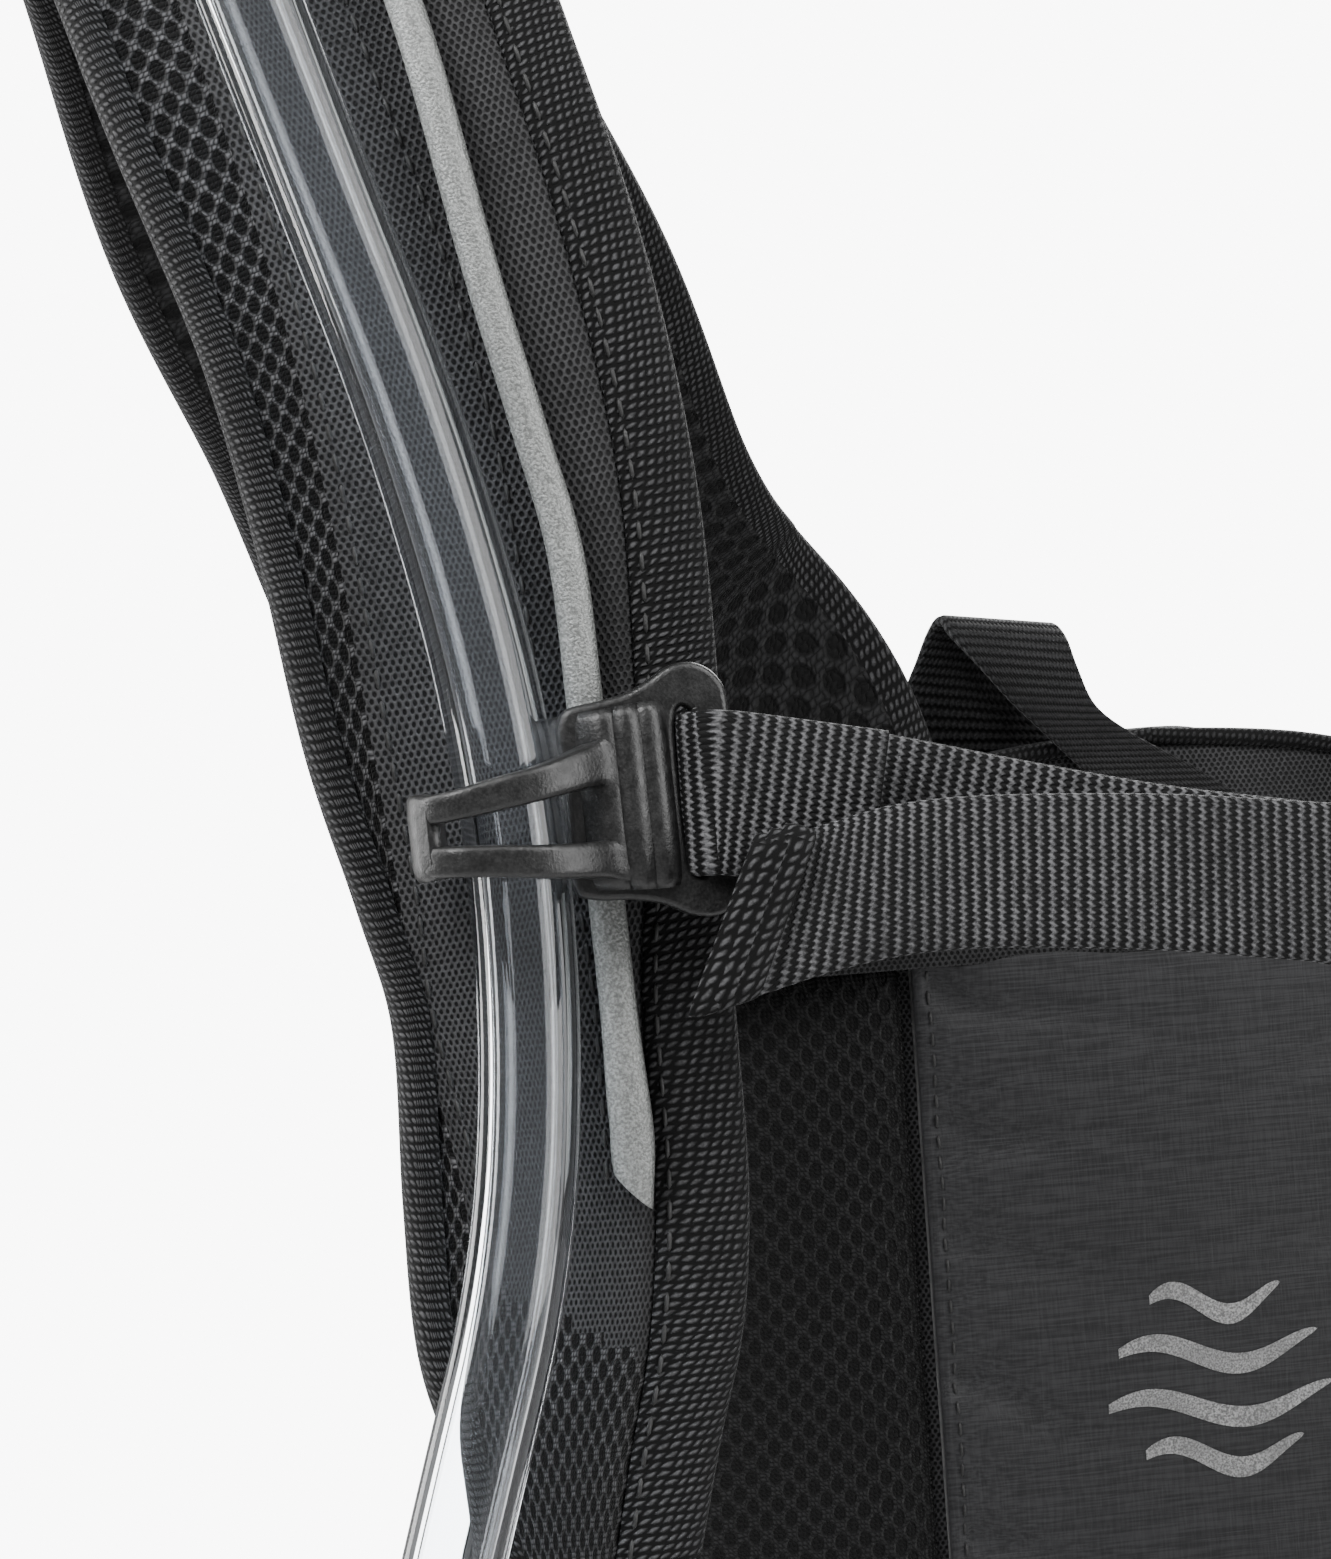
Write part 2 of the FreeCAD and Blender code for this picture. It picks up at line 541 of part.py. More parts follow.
def sternum_webbing():
    """Webbing from each clip to its buckle half, folded round both bars, and the wearer's loose tail."""
    up = V(0, 0, 1)
    bar_y, fold = -140.7, 2.75
    bar_x = CLIP_X + 10.55
    loop = wrap(bar_x, bar_y, CLIP_Z, fold, -1)
    run = [V(CLIP_X + u, bar_y + fold - 3.0 * max(0.0, u - 14) / 64, CLIP_Z + dz) for u, dz in DROOP[1:-1]]
    short_end = [V(CLIP_X + u, bar_y - fold - 0.15 * (u > 20), CLIP_Z + dz) for u, dz in DROOP[1:3]]
    path = short_end[::-1] + loop[::-1] + run
    behind = BUCKLE_Y + BUCKLE_FOLD
    right = path + [V(-19.5, behind, BUCKLE_Z + 0.2)] + wrap(BAR_RIGHT_X, BUCKLE_Y, BUCKLE_Z, BUCKLE_FOLD, 1)
    save("sternum_webbing_right", band(right, up, WEB, WEB_T))
    left = [V(-p.x, p.y, p.z) for p in path] + [V(36.0, behind, BUCKLE_Z + 0.6)]
    left += wrap(BAR_LEFT_X, BUCKLE_Y, BUCKLE_Z, BUCKLE_FOLD, -1) + [V(30, BUCKLE_Y - BUCKLE_FOLD, BUCKLE_Z)]
    save("sternum_webbing_left", band(left, up, WEB, WEB_T))
    front = BUCKLE_Y - BUCKLE_FOLD
    tail = [V(-14.4, front, BUCKLE_Z), V(-21, front - 0.2, BUCKLE_Z + 0.1), V(-32, front - 0.6, -31.0),
            V(-46, front - 0.8, -29.2), V(-60, front - 0.8, -27.8), V(-70, front - 0.9, -28.0),
            V(-77, front - 1.2, -28.9), V(-83, front - 1.6, -30.0)]
    across = [V(math.sin(math.radians(a)), 0, math.cos(math.radians(a))) for a in (0, 0, 0, 0, 0, 6, 20, 38)]
    hem = [tail[-1] + V(0.8, 0, 0.1), tail[-1] + V(-5.0, -0.6, -1.4)]
    tail_band = band(tail, across, WEB, WEB_T)
    save("sternum_tail", fused([tail_band, band(hem, across[-1], WEB + 0.6, 3.4)]))


PRONG = [(-4.6, 5.0), (3.5, 5.4), (5.0, 10.9), (8.5, 10.9), (13.0, 8.2), (13.0, 5.8), (6.5, 4.6), (-4.6, 3.2)]


def buckle():
    """Side-release buckle: the bar half with its two prongs, and the socket half."""
    y, z = BUCKLE_Y, BUCKLE_Z
    thin, tall, slot_tall = (y - 0.9, y + 0.9), (z - 10.5, z + 10.5), (z - 8, z + 8)
    through = (y - 9, y + 9)
    frame = box((-23.0, -6.0), thin, tall)
    frame = frame.cut(box((-21.0, BAR_RIGHT_X - BAR), through, slot_tall))
    frame = frame.cut(box((BAR_RIGHT_X + BAR, -9.4), through, slot_tall))
    hub = box((-8.4, -4.8), (y - 3.8, y + 3.8), tall)
    tongue = box((-4.8, 9.0), (y - 1.2, y + 1.2), (z - 2.0, z + 2.0))
    save("buckle_bar_half", fused([frame, hub, tongue]))
    for name, sign in (("buckle_prong_upper", 1), ("buckle_prong_lower", -1)):
        save(name, plate([(u, z + sign * v) for u, v in PRONG], y - 2.0, y + 2.0))
    housing = box((-3.6, 15.4), (y - 4.2, y + 4.2), (z - 11.4, z + 11.4))
    housing = housing.cut(box((-5, 14.2), (y - 2.6, y + 2.6), (z - 9.8, z + 9.8)))
    housing = housing.cut(box((3.6, 11.6), (y - 2.6, y + 2.6), (z - 12, z + 12)))
    plate_end = box((15.4, BAR_LEFT_X + BAR), thin, (z - 11.4, z + 11.4))
    plate_end = plate_end.cut(box((16.6, BAR_LEFT_X - BAR), through, slot_tall))
    save("buckle_socket_half", fused([housing, plate_end]))


# ---- adjusters ----

LOCK_SLOTS = [(-6.2, -1.5), (-13.2, -8.4), (-21.6, -15.6)]


def ladder_lock():
    """Flat moulded frame with three slots and a raised lip to pull on."""
    x, y, z = LOCK_TOP
    frame = box((x - 13.5, x + 13.5), (y - 1.5, y + 1.5), (z - 24.0, z + 1.5))
    for low, high in LOCK_SLOTS:
        frame = frame.cut(box((x - 10.5, x + 10.5), (y - 9, y + 9), (z + low, z + high)))
    lip = box((x - 13.5, x + 13.5), (y - 3.2, y - 1.5), (z - 24.0, z - 21.6))
    return fused([frame, lip])


def lock_loop():
    """Webbing ring that holds the ladder lock's upper bar under the strap's tip."""
    x, y, z = LOCK_TOP
    ring = [(0.2, 7.9), (-2.6, 4.5), (-2.9, 0.0), (-2.4, -3.0), (0.0, -4.1), (2.4, -3.0), (2.9, 0.0),
            (2.6, 4.5)]

    def loop(grow):
        points = [V(x - 9.5, y, z) + V(0, a, b) * (1 + grow / math.hypot(a, b)) for a, b in ring]
        return Part.makePolygon(points + points[:1])

    width = V(19, 0, 0)
    solid = Part.Face(loop(0.6)).extrude(width).cut(Part.Face(loop(-0.6)).extrude(width))
    return solid.common(box((-200, 0), (-200, 0), (z - 9, STRAP[-1][0].z - 0.2)))


def adjusters():
    x, y, z = LOCK_TOP
    level = V(1, 0, 0)
    save_pair("ladder_lock", ladder_lock())
    save_both("lock_loops", lock_loop())
    thread = [(5.4, -27.0), (2.8, -20.0), (2.6, -14.4), (1.7, -11.5), (0.0, -10.4), (-1.7, -11.5),
              (-2.6, -14.4),
              (-4.7, -21.0), (-5.6, -30.0), (-6.5, -60.0), (-6.0, -92.0)]
    save_pair("adjuster_webbing", band([V(x, y + a, z + b) for a, b in thread], level, STRAP_WEB - 1, 1.3))
    start = V(x, y + 5.8, z - 28.6)
    fall = ANCHOR - start
    lower = [start, start + fall * 0.33 + V(0, -2, -4), start + fall * 0.67 + V(0, -2, -4), ANCHOR]
    save_both("lower_webbings", band(lower, level, STRAP_WEB - 1, 1.3))
    tab = [(-SIDE_X - 0.2, -382.0), (-SIDE_X - 0.2, -416.0), (-122.0, -406.0), (-122.0, -394.0)]
    save_both("anchor_tabs", plate(tab, 5.2, 6.6))


# ---- drink hose ----

def drink_hose():
    out = (HOSE[1] - HOSE[0]).normalize()
    save("hose", tube(HOSE, HOSE_D, "hose"))
    save("inner_hose", tube(INNER_HOSE, HOSE_D, "inner hose"))
    flange = along(HOSE_PORT, out, 8.0, 1.6, 3.2).fuse(along(HOSE_PORT, out, 6.6, -5.0, 3.2))
    save("hose_port", flange.cut(along(HOSE_PORT, out, HOSE_D / 2 + 0.1, -6, 4)).removeSplitter())
    keepers = []
    for i in (3, 8):
        run = (HOSE[i + 1] - HOSE[i])
        mid, way = HOSE[i] + run * 0.5, V(run).normalize()
        ring = along(mid, way, HOSE_D / 2 + 0.9, -4.5, 4.5)
        keepers.append(ring.cut(along(mid, way, HOSE_D / 2 + 0.15, -5, 5)))
    save("hose_keepers", Part.makeCompound(keepers))


def bite_valve():
    down = V(0, 0, -1)
    x, y, z = VALVE_TOP
    body = along(VALVE_TOP, down, 7.6, 0.0, 4.0).fuse(along(VALVE_TOP, down, 6.4, 4.0, 27.0))
    boss = Part.makeCylinder(5.6, 8.6, V(x, y, z - 15), V(0, -1, 0))
    save("valve_body", fused([body, boss]))
    lip = along(VALVE_TOP, down, 8.6, 27.0, 31.0)
    tip = Part.makeCone(8.0, 5.6, 20.0, VALVE_TOP + down * 31.0, down)
    save("mouthpiece", fused([lip, tip]).cut(along(VALVE_TOP, down, 2.2, 26, 60)))
    pin = V(x, y - 8.9, z - 15)
    lever = Part.makeCylinder(5.6, 2.6, pin, V(0, -1, 0))
    tab = box((x - 2.4, x + 2.4), (y - 11.5, y - 8.9), (z - 15, z + 1.0))
    save("valve_lever", fused([lever, tab]))


def main():
    os.makedirs("parts", exist_ok=True)
    back_panel()
    gusset()
    main_zip()
    main_sliders()
    front_pocket()
    reservoir()
    hose_connector()
    haul_loop()
    shoulder_straps()
    rails()
    sternum_clip()
    sternum_webbing()
    buckle()
    adjusters()
    drink_hose()
    bite_valve()


main()
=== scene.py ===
import math

import bmesh
import bpy
from mathutils import Matrix, Vector, noise

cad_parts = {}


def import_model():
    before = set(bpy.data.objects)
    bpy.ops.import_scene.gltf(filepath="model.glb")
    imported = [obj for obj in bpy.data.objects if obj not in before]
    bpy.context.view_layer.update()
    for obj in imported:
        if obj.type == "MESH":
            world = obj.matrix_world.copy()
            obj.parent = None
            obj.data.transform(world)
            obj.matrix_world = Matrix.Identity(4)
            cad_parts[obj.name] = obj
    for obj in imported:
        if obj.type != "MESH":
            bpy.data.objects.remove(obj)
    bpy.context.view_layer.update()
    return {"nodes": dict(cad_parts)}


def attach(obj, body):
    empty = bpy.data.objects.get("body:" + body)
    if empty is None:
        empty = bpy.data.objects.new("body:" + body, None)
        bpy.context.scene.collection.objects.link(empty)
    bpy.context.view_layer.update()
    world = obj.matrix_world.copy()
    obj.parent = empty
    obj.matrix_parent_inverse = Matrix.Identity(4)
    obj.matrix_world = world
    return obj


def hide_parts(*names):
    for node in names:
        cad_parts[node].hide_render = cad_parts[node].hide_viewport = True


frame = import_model()
NODES = frame["nodes"]
MM = 0.001
SIDES = (("right", False), ("left", True))      # a side's name, and whether its pieces are mirrored


def P(x, y, z):
    """A point of the row frame, given in millimetres."""
    return Vector((x, y, z)) * MM


# ---------------------------------------------------------------- materials

class Value:
    """A node's output, with the arithmetic signs for maths nodes."""

    def __init__(self, nodes, socket):
        self.nodes, self.socket = nodes, socket

    def __rsub__(self, other):
        return self.nodes.op("SUBTRACT", other, self)

    def __abs__(self):
        return self.nodes.op("ABSOLUTE", self)


for sign, operation in (("add", "ADD"), ("sub", "SUBTRACT"), ("mul", "MULTIPLY"), ("truediv", "DIVIDE")):
    setattr(Value, "__%s__" % sign, lambda a, b, operation=operation: a.nodes.op(operation, a, b))


class Nodes:
    """Short calls for the nodes of a tree."""

    def __init__(self, tree):
        self.tree = tree

    def node(self, kind, **settings):
        node = self.tree.nodes.new("ShaderNode" + kind)
        for key, value in settings.items():
            setattr(node, key, value)
        return node

    def put(self, socket, value):
        if isinstance(value, (int, float)):
            socket.default_value = value
        elif isinstance(value, tuple):
            socket.default_value = value if len(value) == 4 else (*value, 1)
        else:
            self.tree.links.new(value.socket if isinstance(value, Value) else value, socket)

    def op(self, operation, *values):
        node = self.node("Math", operation=operation)
        for socket, value in zip(node.inputs, values):
            self.put(socket, value)
        return Value(self, node.outputs[0])


class Paint(Nodes):
    """A node material with short calls for the maths of weaves and moulded grain."""

    def __init__(self, name, rough=0.8, **sockets):
        self.mat = bpy.data.materials.new(name)
        self.mat.use_nodes = True
        super().__init__(self.mat.node_tree)
        self.bsdf = self.tree.nodes["Principled BSDF"]
        self.bsdf.inputs["Roughness"].default_value = rough
        for key, value in sockets.items():
            self.bsdf.inputs[key.replace("_", " ")].default_value = value

    def mix(self, factor, a, b):
        node = self.node("Mix", data_type="RGBA")
        for k, value in ((0, factor), (6, a), (7, b)):      # a colour mix has its colours in sockets 6 and 7
            self.put(node.inputs[k], value)
        return Value(self, node.outputs[2])

    def span(self, value, low, high, to_low=0, to_high=1):
        node = self.node("MapRange", interpolation_type="SMOOTHSTEP")
        for socket, v in zip(node.inputs, (value, low, high, to_low, to_high)):
            self.put(socket, v)
        return Value(self, node.outputs[0])

    def split(self, vector):
        parts = self.node("SeparateXYZ")
        self.put(parts.inputs[0], vector)
        return [Value(self, out) for out in parts.outputs]

    def ripple(self, value, period):
        """Rounded ridges, 0 in the grooves to 1 on top, a period apart."""
        return abs(self.op("SINE", value * (math.pi / period)))

    def along(self):
        """Millimetres across and along a swept piece, from its UV map."""
        return self.split(self.node("TexCoord").outputs["UV"])[:2]

    def around(self):
        """Millimetres on the two axes that a face of a padded piece looks along least."""
        at = self.split(self.node("TexCoord").outputs["Object"])
        facing = self.split(self.node("NewGeometry").outputs["True Normal"])
        x, y, z = (c * 1000 for c in at)
        nx, ny, nz = (abs(c) for c in facing)
        sideways = self.op("GREATER_THAN", nx, ny)
        flat = self.op("GREATER_THAN", nz, self.op("MAXIMUM", nx, ny))
        return y * sideways + x * (1 - sideways), y * flat + z * (1 - flat)

    def noise(self, scale, detail=2, stretch=(1, 1, 1)):
        """Noise in object space, with scale in features to a metre."""
        size = self.node("VectorMath", operation="MULTIPLY")
        self.put(size.inputs[0], self.node("TexCoord").outputs["Object"])
        size.inputs[1].default_value = tuple(scale * s for s in stretch)
        node = self.node("TexNoise")
        node.inputs["Scale"].default_value = 1
        node.inputs["Detail"].default_value = detail
        self.put(node.inputs["Vector"], size.outputs[0])
        return Value(self, node.outputs["Fac"])

    def patches(self, scale, detail, low, high, start=0.3, end=0.7):
        """Soft patches of noise, from low to high."""
        return self.span(self.noise(scale, detail), start, end, low, high)

    def bricks(self, u, v, pu, pv, power=0.6, shear=0, wobble=0.25):
        """Rows of rounded bumps, each row half a bump on from the last: 0 in the gaps to 1 on the yarns."""
        wave = (self.noise(700, 1) - 0.5) * (wobble * 2)
        u, v = u + wave, v + wave * 0.6
        if shear:
            u = u + v * shear
        row = v / pv
        shift = self.op("FLOORED_MODULO", self.op("FLOOR", row), 2) * 0.5
        return self.op("POWER", self.ripple(u / pu + shift, 1) * self.ripple(row, 1), power)

    def holes(self, u, v, pu, pv, ru, rv, wobble=0.3):
        """Staggered oval holes: distance from the nearest hole's middle, 1 at its rim."""
        wave = (self.noise(420, 1) - 0.5) * (wobble * 2)
        u, v = u + wave, v + wave
        found = []
        for half in (0, 0.5):
            parts = []
            for c, p, r in ((u, pu, ru), (v, pv, rv)):
                cell = self.op("FRACT", c / p + half) - 0.5
                parts.append(self.op("POWER", cell * p / r, 2))
            found.append(self.op("SQRT", parts[0] + parts[1]))
        return self.op("MINIMUM", *found)

    def bump(self, height, depth_mm):
        node = self.node("Bump")
        node.inputs["Distance"].default_value = depth_mm * MM
        self.put(node.inputs["Height"], height)
        self.put(self.bsdf.inputs["Normal"], node.outputs[0])

    def color(self, value):
        self.put(self.bsdf.inputs["Base Color"], value)

    def dye(self, yarns, fade, fuzz, dark, light):
        """Colour yarns from near-black painted shade in the gaps to light tops, partly the yarns' own grey and partly a
        painted highlight, with soft fading and fine fuzz.
        """
        self.color(self.mix(yarns * self.patches(*fade) * self.patches(*fuzz), grey(dark), grey(light)))


def grey(value, blue=1.04):
    return (value, value, value * blue)


def fabric(name, rough, specular, sheen, sheen_rough):
    return Paint(name, rough, Specular_IOR_Level=specular, Sheen_Weight=sheen, Sheen_Roughness=sheen_rough)


def woven(name, pitch, dark, light, depth, shear):
    """Coarse woven tape whose yarns show as rows of bumps, painted dark in the gaps as shade and light on the tops as a
    painted highlight.
    """
    m = fabric(name, 0.72, 0.12, 0.05, 0.45)
    u, v = m.along()
    h = m.span(m.bricks(u, v, *pitch, 0.9, shear), 0.3, 0.95)
    m.dye(h, (60, 3, 0.75, 1.15), (2600, 1, 0.6, 1.25, 0.35, 0.65), dark, light)
    m.bump(h, depth)
    return m


def oxford(name, light, swept=True):
    """Oxford cloth: a tight net of grey yarns with pinholes in staggered rows, the pinholes painted near-black as shade
    that fades out into the yarns round them.
    """
    m = fabric(name, 0.7, 0.15, 0.05, 0.45)
    u, v = m.along() if swept else m.around()
    yarn = m.span(m.holes(u, v, 0.86, 1.3, 0.27, 0.3, 0.14), 0.55, 1.3)
    m.dye(yarn, (55, 3, 0.72, 1.15), (2200, 1, 0.65, 1.25), 0.003, light)
    m.bump(yarn, 0.16)
    return m


def ribbed(name, pitch, light, share=0.5):
    """Ribbed webbing: narrow ribs of zigzag stitches across it, pale on top partly from a painted highlight, with
    grooves between painted black as shade.
    """
    stitch = 0.66               # a zigzag's width, in millimetres
    m = fabric(name, 0.7, 0.15, 0.05, 0.4)
    u, v = m.along()
    sway = m.op("SINE", u * (math.tau / stitch)) * 0.13
    rough = (m.noise(900, 2) - 0.5) * 0.35
    top = m.span(m.ripple((v + sway + rough) / pitch, 1), 1 - share, 0.97)
    knot = m.ripple(u, stitch)
    # Painted light: highlight on the rib tops, shade in the grooves and between the zigzag knots.
    shade = top * m.span(knot, 0, 0.8, 0.45, 1)
    m.dye(shade, (70, 3, 0.7, 1.15), (3000, 1, 0.5, 1.3), 0.0025, light)
    m.bump(top + knot * 0.25, 0.3)
    return m


def netting(name, pitch, hole, dark, light, depth, swept=True):
    """Knitted mesh: staggered holes between rounded, fibrous bars; the holes are painted near-black as shade, and the
    strands are lighter on their tops as a painted highlight.
    """
    m = fabric(name, 0.75, 0.15, 0.06, 0.4)
    u, v = m.along() if swept else m.around()
    bar = m.span(m.holes(u, v, *pitch, *hole), 0.85, 1.25)
    strands = m.bricks(u, v, pitch[0] / 5, pitch[1] / 6, 0.7, 0.5, 0.35)
    # Painted light: lighter strand tops as highlight, and near-black holes as shade.
    thread = m.mix(strands * m.patches(90, 2, 0.75, 1.1), grey(dark), grey(light))
    m.color(m.mix(bar, grey(0.001), thread))
    m.bump(bar + strands * 0.3, depth)
    return m


def moulded(name, value, rough=0.42, grain=0.06, blue=1):
    """Moulded plastic or rubber with a fine grain and a random mottle of lighter and darker tone."""
    m = Paint(name, rough)
    tone = m.patches(160, 3, 0.6, 1, 0.35) * m.patches(3600, 1, 0, 1, 0.3, 0.75)
    m.color(m.mix(tone, grey(value * 0.6, blue), grey(value * 2.2, blue)))
    m.put(m.bsdf.inputs["Roughness"], m.patches(900, 3, rough * 0.85, rough * 1.2))
    m.bump(m.noise(3000, 2), grain)
    return m


def clear(name, tint, rough=0.03):
    """Clear flexible plastic that lets most light through to what lies under it."""
    m = Paint(name, rough, Transmission_Weight=1, IOR=1.46)
    m.color((*tint, 1))
    m.bump(m.noise(240, 2, (1, 1, 0.12)), 0.02)
    path, thin, blend = m.node("LightPath"), m.node("BsdfTransparent"), m.node("MixShader")
    thin.inputs[0].default_value = (0.9, 0.92, 0.94, 1)
    shadow = m.op("MULTIPLY", path.outputs["Is Shadow Ray"], 0.92)
    for socket, value in zip(blend.inputs, (shadow, m.bsdf.outputs[0], thin.outputs[0])):
        m.put(socket, value)
    m.put(m.tree.nodes["Material Output"].inputs["Surface"], blend.outputs[0])
    return m


def ripstop():
    """Light ripstop: fine crosswise threads, a faint grid of thicker yarns, and a slightly uneven dye."""
    grid_pitch = 3.2            # millimetres between the thicker yarns
    m = fabric("back_ripstop", 0.6, 0.25, 0.12, 0.4)
    u, v = m.around()
    weft = m.span(m.noise(3000, 1, (0.04, 1, 1)), 0.3, 0.7)
    warp = m.span(m.noise(2600, 1, (1, 1, 0.12)), 0.3, 0.7)
    grid = m.op("MAXIMUM", *(m.span(m.ripple(w, grid_pitch), 0, 0.18, 1, 0) for w in (u, v)))
    weave = weft * 0.6 + warp * 0.3 + grid * 0.12
    dye = m.patches(14, 1, 0.85, 1.1)
    m.color(m.mix(weave * dye, grey(0.012, 1.1), grey(0.036, 1.06)))
    m.bump(weave, 0.06)
    return m


def reflective():
    """Reflective tape: pale grey with a fine beaded glitter."""
    m = Paint("reflective_tape", 0.42, Metallic=0.25)
    beads = m.patches(3800, 2, 0, 1, 0.3, 0.75)
    m.color(m.mix(beads, (0.15, 0.155, 0.15), (0.34, 0.35, 0.34)))
    m.bump(beads, 0.05)
    return m


# Cloth from here to the meshes paints shade into its yarn gaps and holes and highlights onto its yarn tops.
OXFORD = oxford("oxford_cloth", 0.052)
OXFORD_BAG = oxford("oxford_cloth_bag", 0.045, swept=False)
BINDING = woven("binding_tape", (1.1, 0.85), 0.002, 0.075, 0.28, 0.9)
EDGE_TAPE = woven("edge_tape", (1.2, 0.95), 0.002, 0.03, 0.2, 0.6)
WEBBING = ribbed("ribbed_webbing", 1.2, 0.14)
LOOP_WEB = ribbed("haul_loop_webbing", 1.5, 0.03, 0.8)
STRAP_MESH = netting("strap_mesh", (2.6, 3.1), (0.72, 0.95), 0.003, 0.12, 0.6)
BACK_MESH = netting("back_mesh", (3.4, 3.9), (0.85, 1.1), 0.002, 0.018, 0.8, swept=False)
INNER_MESH = netting("inner_mesh", (3.4, 3.9), (0.85, 1), 0.002, 0.028, 0.8)
THREAD = moulded("sewing_thread", 0.012, 0.6, 0.05)
PLASTIC = moulded("black_acetal", 0.0075, 0.4, 0.05)
RUBBER = moulded("black_rubber", 0.02, 0.6, 0.04)
METAL = moulded("black_zip_metal", 0.025, 0.3, 0.02)
BLUE = moulded("blue_plastic", 0.16, 0.35, 0.03, 2.4)
HOSE = clear("clear_hose", (0.93, 0.955, 0.985))
FILM = clear("reservoir_film", (0.75, 0.88, 0.95), 0.12)
SILICONE = moulded("soft_silicone", 0.42, 0.4, 0.03, 1.15)
RIPSTOP, TAPE = ripstop(), reflective()
MARK = moulded("printed_mark", 0.2, 0.6, 0.05)

# ---------------------------------------------------------------- mesh tools

def new_object(name, data):
    obj = bpy.data.objects.new(name, data)
    bpy.context.scene.collection.objects.link(obj)
    return obj


def add_object(name, mesh, paints, body, nodes=(), smooth=True):
    """A piece that rides on a body, takes the paints it is given, and stands for CAD nodes."""
    obj = new_object(name, mesh)
    for p in paints if isinstance(paints, list) else [paints]:
        mesh.materials.append(p.mat)
    if smooth:
        mesh.polygons.foreach_set("use_smooth", [True] * len(mesh.polygons))
    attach(obj, body)
    if nodes:
        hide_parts(*nodes)
    return obj


def new_mesh(name, verts, faces):
    mesh = bpy.data.meshes.new(name)
    mesh.from_pydata([tuple(v) for v in verts], [], faces)
    return mesh


def reworked(mesh, change):
    """The mesh after a bmesh change."""
    work = bmesh.new()
    work.from_mesh(mesh)
    change(work)
    work.to_mesh(mesh)
    work.free()
    return mesh


def facing_out(mesh):
    return reworked(mesh, lambda work: bmesh.ops.recalc_face_normals(work, faces=work.faces))


def traced(curve):
    """The mesh that a curve object gives; the object itself is removed."""
    bpy.context.view_layer.update()
    mesh = bpy.data.meshes.new_from_object(curve.evaluated_get(bpy.context.evaluated_depsgraph_get()))
    bpy.data.objects.remove(curve)
    return mesh


def ease(t):
    """A smooth step from 0 to 1."""
    t = min(1, max(0, t))
    return t * t * (3 - 2 * t)


def flipped(points, mirror):
    return [Vector((-p.x, p.y, p.z)) for p in points] if mirror else points


def skin(rings, us, vs, caps=True, pick=None):
    """A mesh through rings of points, with UVs in millimetres: us across, vs along."""
    n = len(rings[0])
    verts = [p for ring in rings for p in ring]
    faces, coords, kinds = [], [], []
    for i in range(len(rings) - 1):
        for j in range(n):
            k = (j + 1) % n
            faces.append((i * n + j, i * n + k, (i + 1) * n + k, (i + 1) * n + j))
            coords += [(us[j], vs[i]), (us[j + 1], vs[i]), (us[j + 1], vs[i + 1]), (us[j], vs[i + 1])]
            kinds.append(pick(i, j) if pick else 0)
    if caps:
        for ring, order in ((0, range(n - 1, -1, -1)), (len(rings) - 1, range(n))):
            faces.append([ring * n + j for j in order])
            coords += [(us[j], vs[ring]) for j in order]
            kinds.append(0)
    mesh = new_mesh("skin", verts, faces)
    layer = mesh.uv_layers.new(name="UVMap")
    layer.data.foreach_set("uv", [c for pair in coords for c in pair])
    mesh.polygons.foreach_set("material_index", kinds)
    return facing_out(mesh)


def smooth_rows(rows, per):
    """Catmull-Rom curve through rows of numbers."""
    out, last = [], len(rows) - 1
    for i in range(last):
        a, b, c, d = rows[max(i - 1, 0)], rows[i], rows[i + 1], rows[min(i + 2, last)]
        for k in range(per):
            t = k / per
            out.append([0.5 * (2 * q + (r - p) * t + (2 * p - 5 * q + 4 * r - s) * t * t
                               + (3 * q - p - 3 * r + s) * t ** 3) for p, q, r, s in zip(a, b, c, d)])
    return out + [list(rows[-1])]


def heading(points, i):
    """The direction of a line of points at its point i."""
    return (points[min(i + 1, len(points) - 1)] - points[max(i - 1, 0)]).normalized()


def frames_along(points, across):
    """Side and thickness directions and distance run, at each point of a band."""
    out, run = [], 0
    for i, p in enumerate(points):
        t = heading(points, i)
        thick = t.cross(across[i]).normalized()
        run += (p - points[i - 1]).length / MM if i else 0
        out.append((p, thick.cross(t).normalized(), thick, run))
    return out


def section(p, side, up, shape, mirror=False):
    """A cross-section of (across, height) pairs in millimetres, set at a point of a band."""
    return flipped([p + side * (s * MM) + up * (h * MM) for s, h in shape], mirror)


def girth(shape):
    """Distance run round a closed cross-section, at each of its points."""
    us = [0]
    for a, b in zip(shape, shape[1:] + shape[:1]):
        us.append(us[-1] + math.hypot(b[0] - a[0], b[1] - a[1]))
    return us


def rounded_strip(width, thick):
    """Cross-section of webbing: flat faces and rounded edges."""
    half, pts = width / 2, []
    for side in (1, -1):
        for k in range(5):
            a = math.radians(-90 + 45 * k) * side
            pts.append((side * (half - thick / 2 + thick / 2 * math.cos(a)), thick / 2 * math.sin(a)))
        pts += [(side * half * f, side * thick / 2) for f in (0.6, 0.2, -0.2, -0.6)]
    return pts


